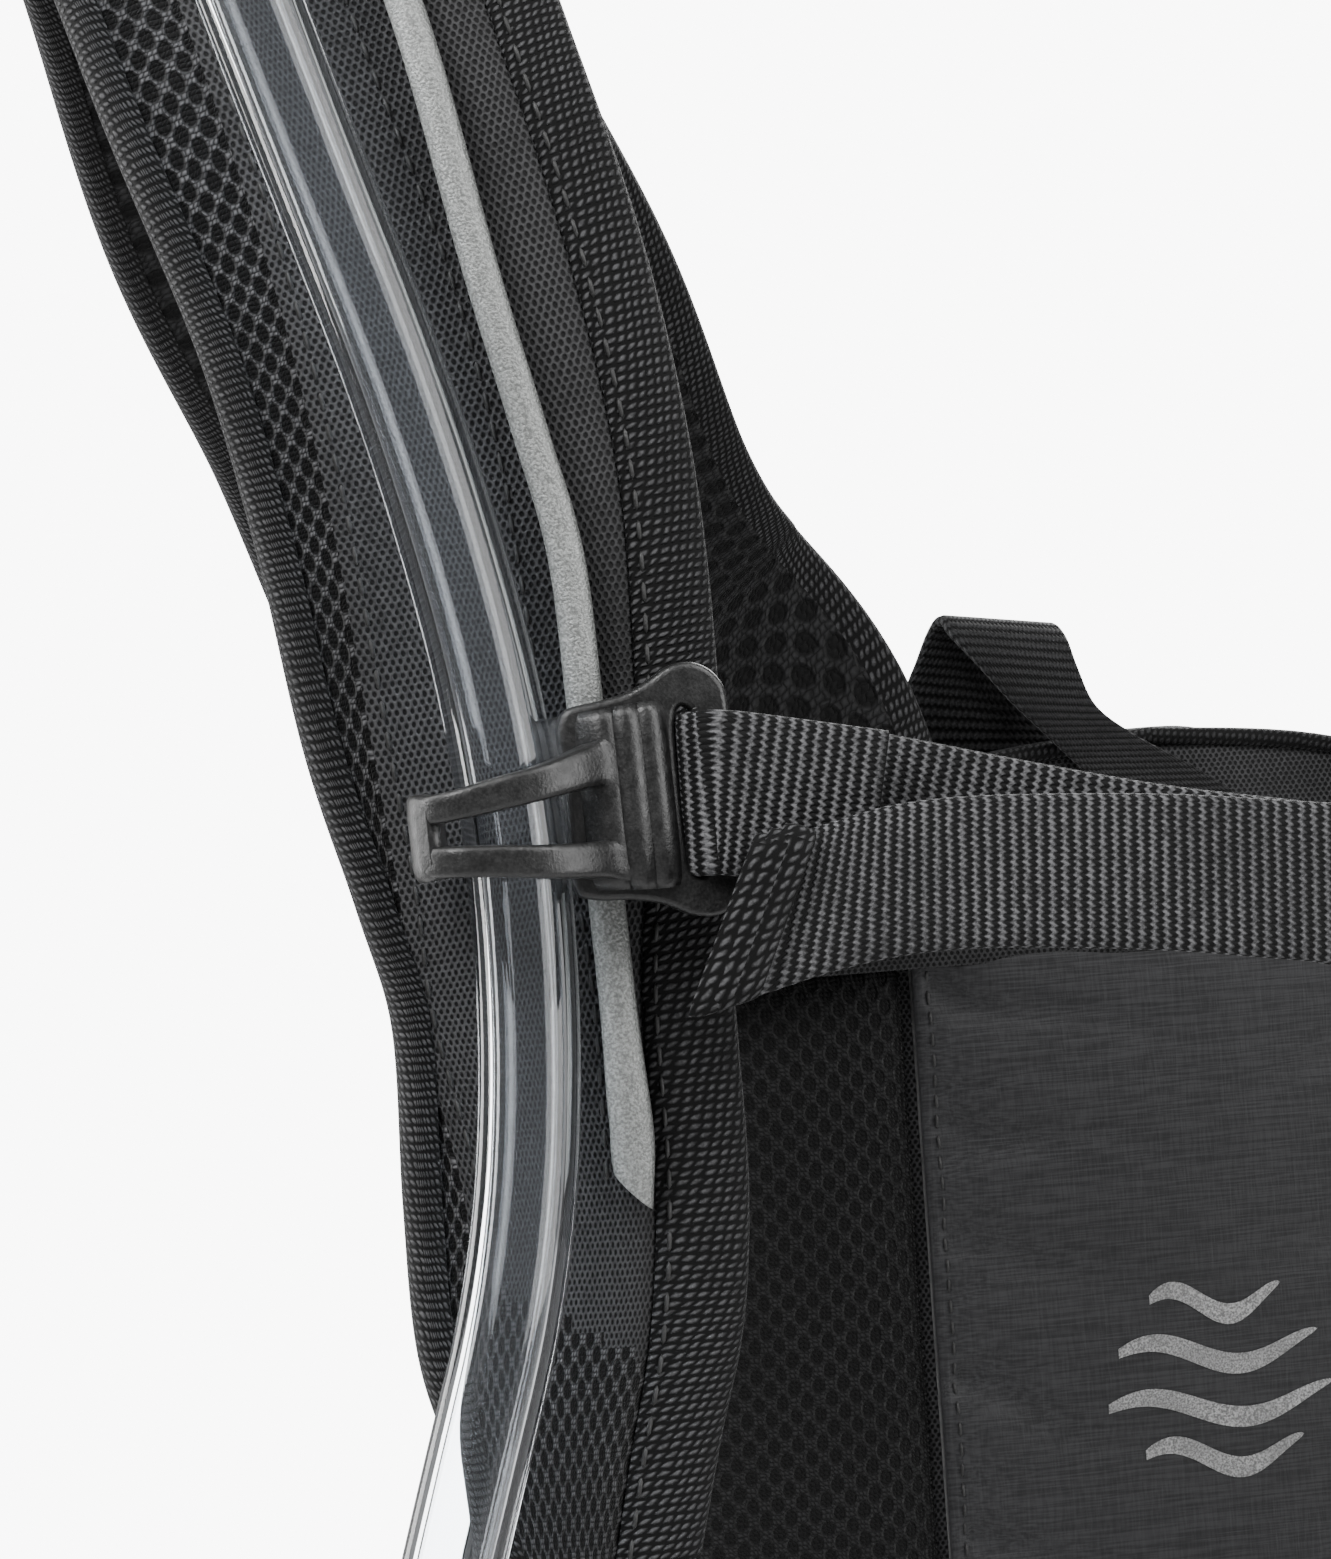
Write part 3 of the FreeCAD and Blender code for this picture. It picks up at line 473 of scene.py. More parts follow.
def ribbon(name, rows, paint, body, nodes=(), width=None, thick=1.4, per=6, mirror=False, profile=None,
           skewed=False):
    """Webbing along rows of (x, y, z, across x, y, z[, width]) in millimetres; skewed keeps slanted rows."""
    profile = profile or (lambda w: rounded_strip(w, thick))
    fine = smooth_rows(rows, per)
    across = [Vector(r[3:6]) for r in fine]
    rings, vs = [], []
    for r, slant, (p, side, up, run) in zip(fine, across, frames_along([P(*r[:3]) for r in fine], across)):
        shape = profile(r[6] if len(r) > 6 else width)
        rings.append(section(p, slant.normalized() if skewed else side, up, shape, mirror))
        vs.append(run)
    mesh = skin(rings, girth(profile(width or fine[0][6])), vs)
    return add_object(name, mesh, paint, body, nodes)


STITCH_LENGTH, STITCH_PITCH, STITCH_RADIUS = 2, 2.9, 0.24
# Rings of a stitch: place along it, size, and height over the cloth, as shares of its length and radius.
STITCH_RINGS = ((-0.5, 0.15, -0.25), (-0.3, 1, 0.25), (0.3, 1, 0.25), (0.5, 0.15, -0.25))


def stitches(name, lines, mirror=False):
    """Rows of short raised threads; each line is a list of (point, outward) pairs."""
    verts, faces = [], []
    for line in lines:
        run, target = 0, STITCH_PITCH / 2
        for (p, n), (q, _) in zip(line, line[1:]):
            step = (q - p).length / MM
            while step > 0 and target <= run + step:
                mid, way = p.lerp(q, (target - run) / step), (q - p).normalized()
                side = way.cross(n).normalized()
                base = len(verts)
                for end, size, lift in STITCH_RINGS:
                    c = mid + way * (end * STITCH_LENGTH * MM) + n * (lift * STITCH_RADIUS * MM)
                    for k in range(6):
                        a = k * math.pi / 3
                        verts.append(c + (side * math.cos(a) + n * math.sin(a)) * (STITCH_RADIUS * size * MM))
                for s in range(base, base + 18, 6):
                    faces += [(s + k, s + (k + 1) % 6, s + 6 + (k + 1) % 6, s + 6 + k) for k in range(6)]
                faces += [tuple(base + k for k in range(5, -1, -1)), tuple(base + 18 + k for k in range(6))]
                target += STITCH_PITCH
            run += step
    mesh = new_mesh(name, flipped(verts, mirror), faces)
    if mirror:
        mesh.flip_normals()
    add_object(name, mesh, THREAD, "pack")


# ---------------------------------------------------------------- shoulder straps

# Stations down the strap's middle line: (x, y, z, width, turn of its face in degrees).
STRAP = [(-58, -5.5, -44, 60, 25), (-66, -6.5, -20, 66, 25), (-79.5, -10, -4.5, 69, 22), (-88, -15, 12, 66, 20),
         (-97.6, -26, 36.5, 65, 18), (-109.8, -40, 59.5, 62, 16), (-119.5, -58, 84, 56, 12), (-127, -84, 99, 51, 4),
         (-126, -106, 90, 48.5, 6), (-121, -121, 71, 46.5, 12), (-116.2, -127.5, 52, 45, 14),
         (-109.8, -129.8, 30, 43.5, 12), (-106, -130, 10, 42.4, 8), (-104, -130, -10, 40, 4),
         (-102.2, -130, -25, 36, 3), (-101, -130, -38, 32.8, 2), (-101, -130, -56, 33, 0), (-101.6, -130, -70, 31, 0),
         (-101.6, -130, -81, 25, 0), (-101.6, -130, -91, 20, 0)]
PER = 8                     # fine sections to a station
# Seams across the strap's face, by station: edge of the mesh panel, edge of the inner binding.
MESH_EDGE = [-15] * 8 + [-14, -13.2, -12.6, -13.8, -14.3, -14.1, -14.2, -14.4, -11.2, -11, -9.5, -8]
BIND_EDGE = [22, 24.5, 25, 24.5, 24, 22.5, 19.5, 17.5, 16.6, 15.8, 15, 13.9, 13.3, 11.5, 9.6, 7, 7, 6, 3.4, 1.2]
OUT_EDGE = 3.6              # width of the outer binding on the face
SHORT = 0.9                 # how far the faces stop short of the strap's edges
FACE_LOW, FACE_RISE, LAP = 2.35, 1, 0.4       # height at the edges, rise of the padding, lap of the cloth
BACK_COLS, BACK_LOW, BACK_RISE = 14, 2.2, 1.4
KNIT_FROM = 22              # fine sections from the tip over which the face is knitted mesh


def strap_sections():
    """Sections of the strap: point, side, up, distance run, half width and the two seams."""
    rows = smooth_rows([(*s, m, b) for s, m, b in zip(STRAP, MESH_EDGE, BIND_EDGE)], PER)
    points = [P(*r[:3]) for r in rows]
    across = [Vector((math.cos(math.radians(r[4])), 0, math.sin(math.radians(r[4])))) for r in rows]
    out = []
    for (p, side, up, run), r in zip(frames_along(points, across), rows):
        away = Vector((0, p.y + 0.07, p.z - 0.04))
        out.append((p, side, up if up.dot(away) > 0 else -up, run, r[3] / 2, r[5], r[6]))
    return out


SECTIONS = strap_sections()


def pad_height(s, half, mesh_edge, bind_edge):
    """Height of the strap's outer face over its middle plane, in millimetres."""
    rise = min(ease((s + half - OUT_EDGE + 1) / 5.5), ease((bind_edge + 1.2 - s) / 3.2))
    return FACE_LOW + FACE_RISE * rise + (LAP if mesh_edge < s < bind_edge else 0)


def face_columns(half, mesh_edge, bind_edge):
    """Places across the face, denser at the seams, with the cloth that each strip is made of."""
    cols, kinds = [], []
    for lo, hi, n, kind in ((SHORT - half, mesh_edge - 0.01, 9, 1), (mesh_edge + 0.35, bind_edge - 0.3, 16, 0),
                            (bind_edge + 0.01, half - SHORT, 5, 0)):
        cols += [lo + (hi - lo) * k / n for k in range(n + 1)]
        kinds += [kind] * (n + 1)
    return cols, kinds


def strap_core(side_name, mirror):
    rings, vs = [], []
    for p, side, up, run, half, mesh_edge, bind_edge in SECTIONS:
        ring = [(s, pad_height(s, half, mesh_edge, bind_edge) + 0.22 * noise.noise(Vector((s * 0.12, run * 0.05, 3.1))))
                for s in face_columns(half, mesh_edge, bind_edge)[0]]
        ring.append((half - 0.3, 0))
        edge = half - SHORT
        for k in range(BACK_COLS + 1):
            s = edge - 2 * edge * k / BACK_COLS
            ring.append((s, -BACK_LOW - BACK_RISE * ease((edge - abs(s)) / 6)))
        ring.append((0.3 - half, 0))
        rings.append(section(p, side, up, ring, mirror))
        vs.append(run)
    cols, kinds = face_columns(*SECTIONS[60][4:])
    us = cols + [cols[-1] + 2.5]
    us += [us[-1] + 2.5 + 2.6 * k for k in range(BACK_COLS + 1)]
    us += [us[-1] + 2.5, us[-1] + 5]

    def pick(i, j):
        if j >= len(kinds):
            return 2
        past = i - (len(SECTIONS) - KNIT_FROM)
        knit = past > 0 and past > (j - 10) * 0.35
        return 1 if kinds[j] == 1 or (knit and j > 9) else 0

    obj = add_object("shoulder_strap_%s_body" % side_name, skin(rings, us, vs, pick=pick),
                     [OXFORD, STRAP_MESH, INNER_MESH], "pack", ["shoulder_strap_" + side_name])


def strap_point(i, s):
    """A point of the strap's outer face at section i, s across, and the outward direction."""
    p, side, up, _, half, mesh_edge, bind_edge = SECTIONS[i]
    return p + side * (s * MM) + up * (pad_height(s, half, mesh_edge, bind_edge) * MM), up


# Distances round the folded tape, at the points of its section.
BINDING_US = [0, 0.6, 4, 7.5, 8.7, 10.4, 11.9, 13.4, 15.1, 16.3, 19.8, 23.2, 23.8, 24.5, 31, 33.6, 36.2, 42,
              43]


def binding(kind, side_name, mirror):
    """Tape folded round an edge of the strap."""
    rings, vs, low = [], [], FACE_LOW
    for p, side, up, run, half, _, bind_edge in SECTIONS:
        inner = kind == "inner"
        reach = half - bind_edge if inner else OUT_EDGE
        face = [(half - reach, low + 0.75), (half - reach + 0.5, low + 1), (half - reach * 0.5, low + 0.95),
                (half - 1.6, low + 0.85), (half - 0.6, low + 0.1), (half - 0.1, low - 1.4), (half, 0)]
        back = [(s, -h) for s, h in reversed(face[:-1])]
        inside = [(half - reach, -low), (half - 1.8, -low), (half - 1, 0), (half - 1.8, low), (half - reach, low)]
        rings.append(section(p, side if inner else -side, up, face + back + inside, mirror))
        vs.append(run)
    obj = add_object("%s_binding_%s" % (kind, side_name), skin(rings, BINDING_US, vs), BINDING, "pack",
                     [] if mirror else [kind + "_bindings"])
    obj.modifiers.new("soften", "SUBSURF").render_levels = 1


def strap_stitching(side_name, mirror):
    """Stitches beside the mesh panel, down the middle, and on the inner binding."""
    face = range(len(SECTIONS) - 25)
    lines = [[strap_point(i, SECTIONS[i][5] + 1.9) for i in face],
             [strap_point(i, min(2.6 - 0.2 * (i > 96), SECTIONS[i][6] - 3)) for i in face],
             [(p + side * ((bind_edge + 1.3) * MM) + up * (3.32 * MM), up)
              for p, side, up, _, _, _, bind_edge in SECTIONS]]
    stitches("strap_stitching_" + side_name, lines, mirror)


for side_name, mirror in SIDES:
    strap_core(side_name, mirror)
    strap_stitching(side_name, mirror)
for kind in ("inner", "outer"):
    for side_name, mirror in SIDES:
        binding(kind, side_name, mirror)

# ---------------------------------------------------------------- reflective rails

RAIL_Y = -136.4


def rail_x(z):
    return -97.5 - 0.04 * (z + 19)


def rail_rows():
    """Rows up the rail: along the strap's face, then straight, then its slanted lower end."""
    rows = []
    for station, s in zip((7, 8, 9, 10), (4, 5, 6.5, 7.2)):
        p, side, up = SECTIONS[station * PER][:3]
        rows.append((*((p + side * (s * MM) + up * (6.4 * MM)) / MM), *side, 3.5))
    straight = [(-104.6, 30), (-101.2, 15.5), (-98.7, 4)] + [(rail_x(z), z) for z in (-10, -24, -38)]
    rows += [(x, RAIL_Y, z, 1, 0, 0, 3.5) for x, z in straight]
    return rows + [(rail_x(-46), RAIL_Y, -46, 1, 0, 0, 4), (-96.2, RAIL_Y + 0.4, -50, 1, 0, -0.15, 4.2),
                   (-96.3, RAIL_Y + 0.9, -53.8, 0.85, 0, -0.53, 4.5),
                   (-96.3, RAIL_Y + 1.2, -55.5, 0.7, 0, -0.72, 4.9)]


def rail_profile(width):
    """A flattened bead over its sewn-in edge."""
    half = width / 2
    bead = [(half * math.cos(a), 1.1 * math.sin(a))
            for a in (math.radians(-60 + 300 * k / 14) for k in range(15))]
    return bead + [(-0.4 * half, -2.6), (0.4 * half, -2.6)]


for side_name, mirror in SIDES:
    ribbon("rail_tape_" + side_name, rail_rows(), TAPE, "pack", ["rail_" + side_name],
           per=8, mirror=mirror, profile=rail_profile, skewed=True)

# ---------------------------------------------------------------- haul loop and webbing

def edge_rows(pairs):
    """Rows of a band from its two edges, each pair (x, y, z) and (x, y, z)."""
    rows = []
    for a, b in pairs:
        a, b = Vector(a), Vector(b)
        rows.append((*((a + b) / 2), *(b - a).normalized(), (b - a).length))
    return rows


HAUL = [((-34, 10, -18.4), (-3, 10, -18.4)), ((-33.1, 9.6, -8.7), (-8, 9.6, -12.5)),
        ((-30.9, 9, -3.2), (-11.6, 9, -6)), ((-29.4, 6.8, 0.9), (-11.4, 6.8, -1.7)),
        ((-28.5, 4, 2), (-11.6, 4, -0.2)), ((-28, 1.2, 0), (-11, 1.2, -2.2)), ((-25.3, -0.8, -4), (-10.4, -0.8, -6)),
        ((-20.6, -1.4, -10.1), (-8.4, -1.6, -11.4)), ((-16, -1.6, -15), (-3.4, -1.6, -15.6)),
        ((-11.6, -1.6, -19.6), (4.5, -1.6, -20.4)), ((-5.9, -1.6, -24.7), (11.5, -1.6, -25.3))]
ribbon("haul_loop_webbing", edge_rows(HAUL), LOOP_WEB, "pack", ["haul_loop"], width=19, thick=1.6,
       per=8, skewed=True)

CLIP_X, CLIP_Z = -97.5, -19
BUCKLE_Y, BUCKLE_Z, FOLD = -144.3, -34, 2.25
BAR_Y, BAR_FOLD = -140.7, 2.75
DROOP = [(14, -0.6), (25, -2.8), (38, -6.2), (52, -9.6), (66, -12.2)]     # from the clip: across, up


def half_turn(x, y, z, radius, way):
    """Round a bar that runs along Z, from behind it to its front."""
    return [(x + way * radius * math.cos(a), y + radius * math.sin(a), z)
            for a in (math.radians(90 - 30 * k) for k in range(7))]


def sternum_paths():
    """Middle lines of the two webbings, from the sewn end round the clip's bar to the buckle."""
    loop = half_turn(CLIP_X + 10.55, BAR_Y, CLIP_Z, BAR_FOLD, -1)
    run = [(CLIP_X + u, BAR_Y + BAR_FOLD - 3 * max(0, u - 14) / 64, CLIP_Z + dz) for u, dz in DROOP]
    short = [(CLIP_X + u, BAR_Y - BAR_FOLD - 0.15 * (u > 20), CLIP_Z + dz) for u, dz in DROOP[:2]]
    path = short[::-1] + loop[::-1] + run
    right = path + [(-19.5, BUCKLE_Y + FOLD, BUCKLE_Z + 0.2)] + half_turn(-14.2, BUCKLE_Y, BUCKLE_Z, FOLD, 1)
    left = [(-x, y, z) for x, y, z in path] + [(36, BUCKLE_Y + FOLD, BUCKLE_Z + 0.6)]
    left += half_turn(20.8, BUCKLE_Y, BUCKLE_Z, FOLD, -1) + [(30, BUCKLE_Y - FOLD, BUCKLE_Z)]
    return right, left


for (side_name, _), path in zip(SIDES, sternum_paths()):
    ribbon("sternum_web_" + side_name, [(*p, 0, 0, 1) for p in path], WEBBING, "clip_" + side_name,
           ["sternum_webbing_" + side_name], width=15, per=5)

# The loose tail and its hem, as pairs of edge points: x, depth from the buckle's front, z.
TAIL = [((-14.4, 0, -41.5), (-14.4, 0, -26.5)), ((-24.6, -0.2, -39.5), (-23.8, -0.2, -24.7)),
        ((-33, -0.4, -38.5), (-32.3, -0.4, -23.7)), ((-46, -0.6, -36.5), (-45.2, -0.6, -22.1)),
        ((-58.3, -0.9, -35.2), (-57.5, -0.9, -21.2)), ((-66.7, -1, -34.7), (-65.9, -1, -20.9)),
        ((-73.3, -1.2, -35), (-72, -1.2, -21.2)), ((-79.2, -1.4, -35.9), (-76.3, -1.4, -22)),
        ((-84, -1.7, -37), (-79.4, -1.7, -22.7)), ((-88.4, -2, -37.9), (-80.9, -2, -22.9))]
HEM = [((-86.4, -2.9, -37.6), (-79.8, -2.9, -22.9)), ((-88.2, -3.2, -38), (-81.2, -3.2, -22.3)),
       ((-89.6, -2.9, -38), (-82.3, -2.9, -22.1))]


def tail_rows(pairs, shift=0):
    y_front = BUCKLE_Y - FOLD
    return edge_rows([[(x + shift, y_front + y, z + shift * 0.25) for x, y, z in pair] for pair in pairs])


ribbon("sternum_tail_webbing", tail_rows(TAIL), WEBBING, "clip_right", ["sternum_tail"], width=15,
       per=8, skewed=True)
for k in range(3):
    ribbon("sternum_tail_hem_%d" % k, tail_rows(HEM, -1.35 * k), BINDING, "clip_right", width=15.6,
           thick=2.3 - 0.3 * (k == 2), per=4, skewed=True)

# ---------------------------------------------------------------- drink hose

HOSE_ROUTE = [(-55, 25, -37), (-67, 21.5, -14), (-81, 13, 9.5), (-96, 0.5, 36.5), (-111, -16, 65.5),
              (-123.5, -38, 94.5), (-132, -65.5, 114), (-137, -97, 116.5), (-136, -125, 101.5), (-130, -140.5, 74),
              (-120.5, -139, 43.5), (-111.5, -139.4, 15), (-105.8, -139.5, -13), (-105, -139.5, -38),
              (-107.5, -139.6, -61), (-114.5, -139.8, -83), (-120.5, -139.8, -103), (-122.7, -139.6, -123),
              (-122.5, -139.5, -143)]
INNER_ROUTE = [(-36, 22, -398), (-57, 22, -398), (-75.4, 22, -390.2), (-87.7, 22, -374.4), (-91.9, 22, -354.8),
               (-90.5, 22.5, -322), (-86, 22, -285), (-83, 21.5, -240), (-81, 22.5, -200), (-75, 22, -160),
               (-62.5, 24.5, -124), (-46, 27.5, -95), (-39.2, 29.3, -67.3), (-55, 25, -37)]
HOSE_RADIUS, BORE_RADIUS = 4.75, 3.25


def hose_curve(name, route, node):
    data = bpy.data.curves.new(name, "CURVE")
    data.dimensions = "3D"
    data.bevel_depth = HOSE_RADIUS * MM
    data.bevel_resolution = 10
    data.resolution_u = 16
    data.use_fill_caps = False
    spline = data.splines.new("NURBS")
    spline.points.add(len(route) - 1)
    for point, at in zip(spline.points, route):
        point.co = (*P(*at), 1)
    spline.order_u = 3
    spline.use_endpoint_u = True
    data.materials.append(HOSE.mat)
    obj = new_object(name, data)
    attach(obj, "pack")
    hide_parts(node)
    return obj


def hose_bore(hose, sides=32):
    """The hose's inner wall, facing inwards, along the line of the hose's own spline."""
    line = new_object("bore_line", hose.data.copy())
    line.data.bevel_depth = 0
    points = [v.co.copy() for v in traced(line).vertices]
    side, run = Vector((0, 1, 0)), 0
    rings, vs = [], []
    for i, p in enumerate(points):
        t = heading(points, i)
        side = (side - t * side.dot(t)).normalized()
        up = t.cross(side)
        rings.append([p + (side * math.cos(a) + up * math.sin(a)) * BORE_RADIUS * MM
                      for a in (k * math.tau / sides for k in range(sides))])
        run += (p - points[i - 1]).length / MM if i else 0
        vs.append(run)
    mesh = skin(rings, [k * BORE_RADIUS * math.tau / sides for k in range(sides + 1)], vs, caps=False)
    mesh.flip_normals()
    return add_object("drink_hose_bore", mesh, HOSE, "pack")


hose = hose_curve("drink_hose", HOSE_ROUTE, "hose")
tuple(P(*HOSE_ROUTE[0]))
hose_bore(hose)

inner = hose_curve("inner_drink_hose", INNER_ROUTE, "inner_hose")
tuple(P(*INNER_ROUTE[-1]))

# ---------------------------------------------------------------- sternum clips

def clip_point(u, y, v, mirror):
    """A point of the clip, from its own right, depth and up, in millimetres."""
    x, z = CLIP_X + u - 0.04 * v, CLIP_Z + v + 0.04 * u
    return P(-x if mirror else x, y, z)


def clip_piece(name, side_name, mesh, nodes=()):
    return add_object("clip_%s_%s" % (name, side_name), mesh, PLASTIC, "clip_" + side_name, nodes)


def clip_sweep(rows, mirror):
    """A moulded bar: rows of (u, y, middle v, half height, half thickness) along it."""
    fine = smooth_rows(rows, 6)
    line = [Vector(row[:2]) for row in fine]
    rings = []
    for i, (u, y, v, tall, thick) in enumerate(fine):
        t = heading(line, i)
        rings.append([clip_point(u + t.y * h * thick, y - t.x * h * thick, v + s * tall, mirror)
                      for s, h in BAR_SHAPE])
    return skin(rings, [float(k) for k in range(len(BAR_SHAPE) + 1)], [float(k) for k in range(len(fine))])


def clip_plate(outline, hole, y_low, y_high, mirror, edge=0.6):
    """A moulded plate with rounded edges and a hole, its outline in (u, v)."""
    curve = bpy.data.curves.new("clip_plate", "CURVE")
    curve.dimensions = "2D"
    curve.fill_mode = "BOTH"
    curve.extrude = ((y_high - y_low) / 2 - edge) * MM
    curve.bevel_depth = edge * MM
    curve.bevel_resolution = 3
    for points in (outline, hole):
        ring = smooth_rows(points + points[:1], 6)[:-1]
        spline = curve.splines.new("POLY")
        spline.points.add(len(ring) - 1)
        for point, (u, v) in zip(spline.points, ring):
            point.co = (u * MM, v * MM, 0, 1)
        spline.use_cyclic_u = True
    mesh = traced(new_object("clip_plate", curve))
    for vert in mesh.vertices:
        u, v, y = vert.co / MM
        vert.co = clip_point(u, (y_low + y_high) / 2 - y, v, mirror)
    mesh.materials.clear()
    return facing_out(mesh)


def bar_shape():
    """Cross-section of a moulded bar: a square with well rounded corners."""
    shape = []
    for a in (math.radians(15 * k) for k in range(24)):
        s, h = math.cos(a) * (1 if abs(math.cos(a)) < 0.8 else 0.97), math.sin(a)
        shape.append((max(-1, min(1, 1.25 * s)), max(-1, min(1, 1.25 * h))))
    return shape


BAR_SHAPE = bar_shape()
FRAME_RIM = [(-2.9, 6.6), (-2.2, 8), (0.4, 8.4), (3.2, 8.9), (5.4, 9.8), (7.6, 11), (9.6, 11), (11.2, 9.8),
             (11.8, 7.6), (11.7, 0), (11.7, -7.8), (10.9, -10), (9.4, -11), (7.2, -10.7), (4.6, -9.4), (1.6, -8.7),
             (-1.8, -8.3), (-2.9, -7), (-2.8, 0)]
FRAME_SLOT = [(6.6, 5.6), (7, 7.6), (8, 8.4), (9.2, 7.8), (9.45, 6), (9.45, -6), (9.2, -7.9), (8, -8.4), (6.9, -7.4),
              (6.6, -5.2), (6.5, 0)]
# Bars of the hook and the saddle, as clip_sweep takes them; the arms share their plan and thickness.
ARM_PLAN = [(5, -141.4, 1.2), (2.4, -141.9, 1.25), (-0.2, -142.6, 1.3), (-3, -144.6, 1.35), (-6.4, -146.2, 1.3),
            (-10.4, -146.4, 1.25), (-14, -146.1, 1.2), (-16, -144.4, 1.1), (-16.7, -141.5, 1)]
UPPER = [(1.4, 6.6), (2.6, 4.6), (3.4, 2.2), (2.9, 1.75), (2.2, 1.55), (1.6, 1.5), (1.05, 1.35), (0.8, 1.3),
         (0.6, 1.4)]
LOWER = [(-5.2, 3.4), (-5.6, 2.4), (-5.4, 1.8), (-5.1, 1.6), (-4.8, 1.5), (-4.3, 1.45), (-3.95, 1.4), (-3.8, 1.35),
         (-3.7, 1.4)]
UPPER_ARM, LOWER_ARM = ([(u, y, v, tall, thick) for (u, y, thick), (v, tall) in zip(ARM_PLAN, arm)]
                        for arm in (UPPER, LOWER))
HOOK_END = [(-15.6, -145.2, -1.6, 3.7, 1), (-16.5, -143.6, -1.6, 3.9, 1.05), (-16.8, -141, -1.6, 3.9, 1),
            (-16.6, -138.4, -1.6, 3.6, 0.8), (-16.2, -137.4, -1.6, 3.2, 0.5)]
SADDLE = [(-2.7, -139.6, 0, 7.9, 0.7), (-1.6, -141, 0, 8.1, 1), (0.4, -142.2, 0, 8.2, 1.3), (1.6, -142, 0, 8.3, 1.2),
          (2.6, -142.5, 0, 8.4, 1.4), (3.8, -142, 0, 8.5, 1.2), (4.9, -142.3, 0, 8.5, 1.2),
          (6.2, -141.2, 0, 8.4, 0.7)]
CHANNEL = [(u, y + 2.2, v, tall, 2) for u, y, v, tall, _ in SADDLE]

for side_name, mirror in SIDES:
    clip_piece("frame", side_name, clip_plate(FRAME_RIM, FRAME_SLOT, -142, -139.4, mirror),
               ["sternum_clip_" + side_name])
    for part, rows in (("channel", CHANNEL), ("saddle", SADDLE), ("upper_arm", UPPER_ARM),
                       ("lower_arm", LOWER_ARM), ("hook_end", HOOK_END)):
        clip_piece(part, side_name, clip_sweep(rows, mirror))

# ---------------------------------------------------------------- adjusters

LOCK = Vector((-101.6, -130, -99))
ANCHOR = Vector((-112, 4.3, -400))
LOWER_START = LOCK + Vector((0, 5.6, -27.6))
# Depth and height from the ladder lock's middle: the webbing threaded through it, and the strap's loop.
THREADED = [(5.4, -27), (2.8, -20), (2.6, -14.4), (1.7, -11.5), (0, -10.4), (-1.7, -11.5), (-2.6, -14.4), (-4.7, -21),
            (-5.6, -30), (-6.5, -60), (-6, -92)]
RING = [(0.8, 10), (2, 7), (2.6, 4.5), (2.9, 0), (2.4, -3), (0, -4.1), (-2.4, -3), (-2.9, 0), (-2.6, 4.5), (-2, 7),
        (-0.8, 10)]


def lock_rows(shape):
    return [(*(LOCK + Vector((0, a, b))), 1, 0, 0) for a, b in shape]


def lower_rows():
    """The lower webbing sags a little between the lock and its anchor."""
    fall, sag = ANCHOR - LOWER_START, Vector((0, -2, -4))
    spots = [LOWER_START, LOWER_START + fall * 0.33 + sag, LOWER_START + fall * 0.67 + sag, ANCHOR]
    return [(*p, 1, 0, 0) for p in spots]


for side_name, mirror in SIDES:
    ribbon("adjuster_web_" + side_name, lock_rows(THREADED), WEBBING, "lock_" + side_name,
           ["adjuster_webbing_" + side_name], width=19, thick=1.3, per=5, mirror=mirror)
    ribbon("lower_web_" + side_name, lower_rows(), WEBBING, "pack", [] if mirror else ["lower_webbings"],
           width=19, thick=1.3, per=16, mirror=mirror)
    ribbon("lock_loop_web_" + side_name, lock_rows(RING), WEBBING, "pack",
           [] if mirror else ["lock_loops"], width=18.6, thick=1.1, per=4, mirror=mirror)

# ---------------------------------------------------------------- the bag

ARCH_Z, TOP_R = -136, 120           # middle of the bag's round top, and its radius


def side_x(z):
    """Half width of the bag at a height."""
    if z > -40:
        return math.sqrt(max(0, TOP_R ** 2 - (z - ARCH_Z) ** 2))
    if z > -78:
        return 72 + 17.5 * math.sin(math.pi / 2 * (-40 - z) / 38)
    if z > -398:
        return 89.5 + (-78 - z) * 13.5 / 320
    return 65 + math.sqrt(max(0, 38 ** 2 - (z + 398) ** 2))


def top_z(x):
    return ARCH_Z + math.sqrt(TOP_R ** 2 - x * x)


def front_y(z):
    return 50 + 26 * (-16 - z) / 420


RIM_HALF = [(0, -16), (24, -18.4), (48, -26), (72, -40), (83.5, -54), (88.6, -70), (90.5, -100), (94, -185),
            (98.5, -292), (102.6, -388), (101.8, -406), (95.5, -421.5), (83, -432), (66, -436), (33, -436), (0, -436)]
RIM = smooth_rows(RIM_HALF + [(-x, z) for x, z in RIM_HALF[-2:0:-1]] + RIM_HALF[:1], 8)[:-1]


def rim_ring(inset, y_of):
    """The bag's outline moved inwards, at a depth given by the height."""
    ring, n = [], len(RIM)
    for i, (x, z) in enumerate(RIM):
        if inset > 12:              # deep insets shrink towards the middle line, so that they don't cross
            f = (inset - 6) / 96
            x, z = x * (1 - f), z + (max(-350, min(-110, z)) - z) * f
        else:
            a, b = RIM[i - 1], RIM[(i + 1) % n]
            t = Vector((b[0] - a[0], b[1] - a[1])).normalized()
            x, z = x + t.y * inset, z - t.x * inset
        ring.append((x, y_of(z), z))
    return ring


ZIP_R, ZIP_SPAN = 78, 81.5            # radius of the main zip's arch, and its half span in degrees


def off_zip(x, z):
    """Distance from the main zip, past a margin that stays flat beside it."""
    turn = math.degrees(math.atan2(x, z - ARCH_Z))
    if abs(turn) > ZIP_SPAN:
        end = math.radians(math.copysign(ZIP_SPAN, turn))
        off = math.hypot(x - ZIP_R * math.sin(end), z - ARCH_Z - ZIP_R * math.cos(end))
    else:
        off = abs(math.hypot(x, z - ARCH_Z) - ZIP_R)
    return max(0, off - 7)


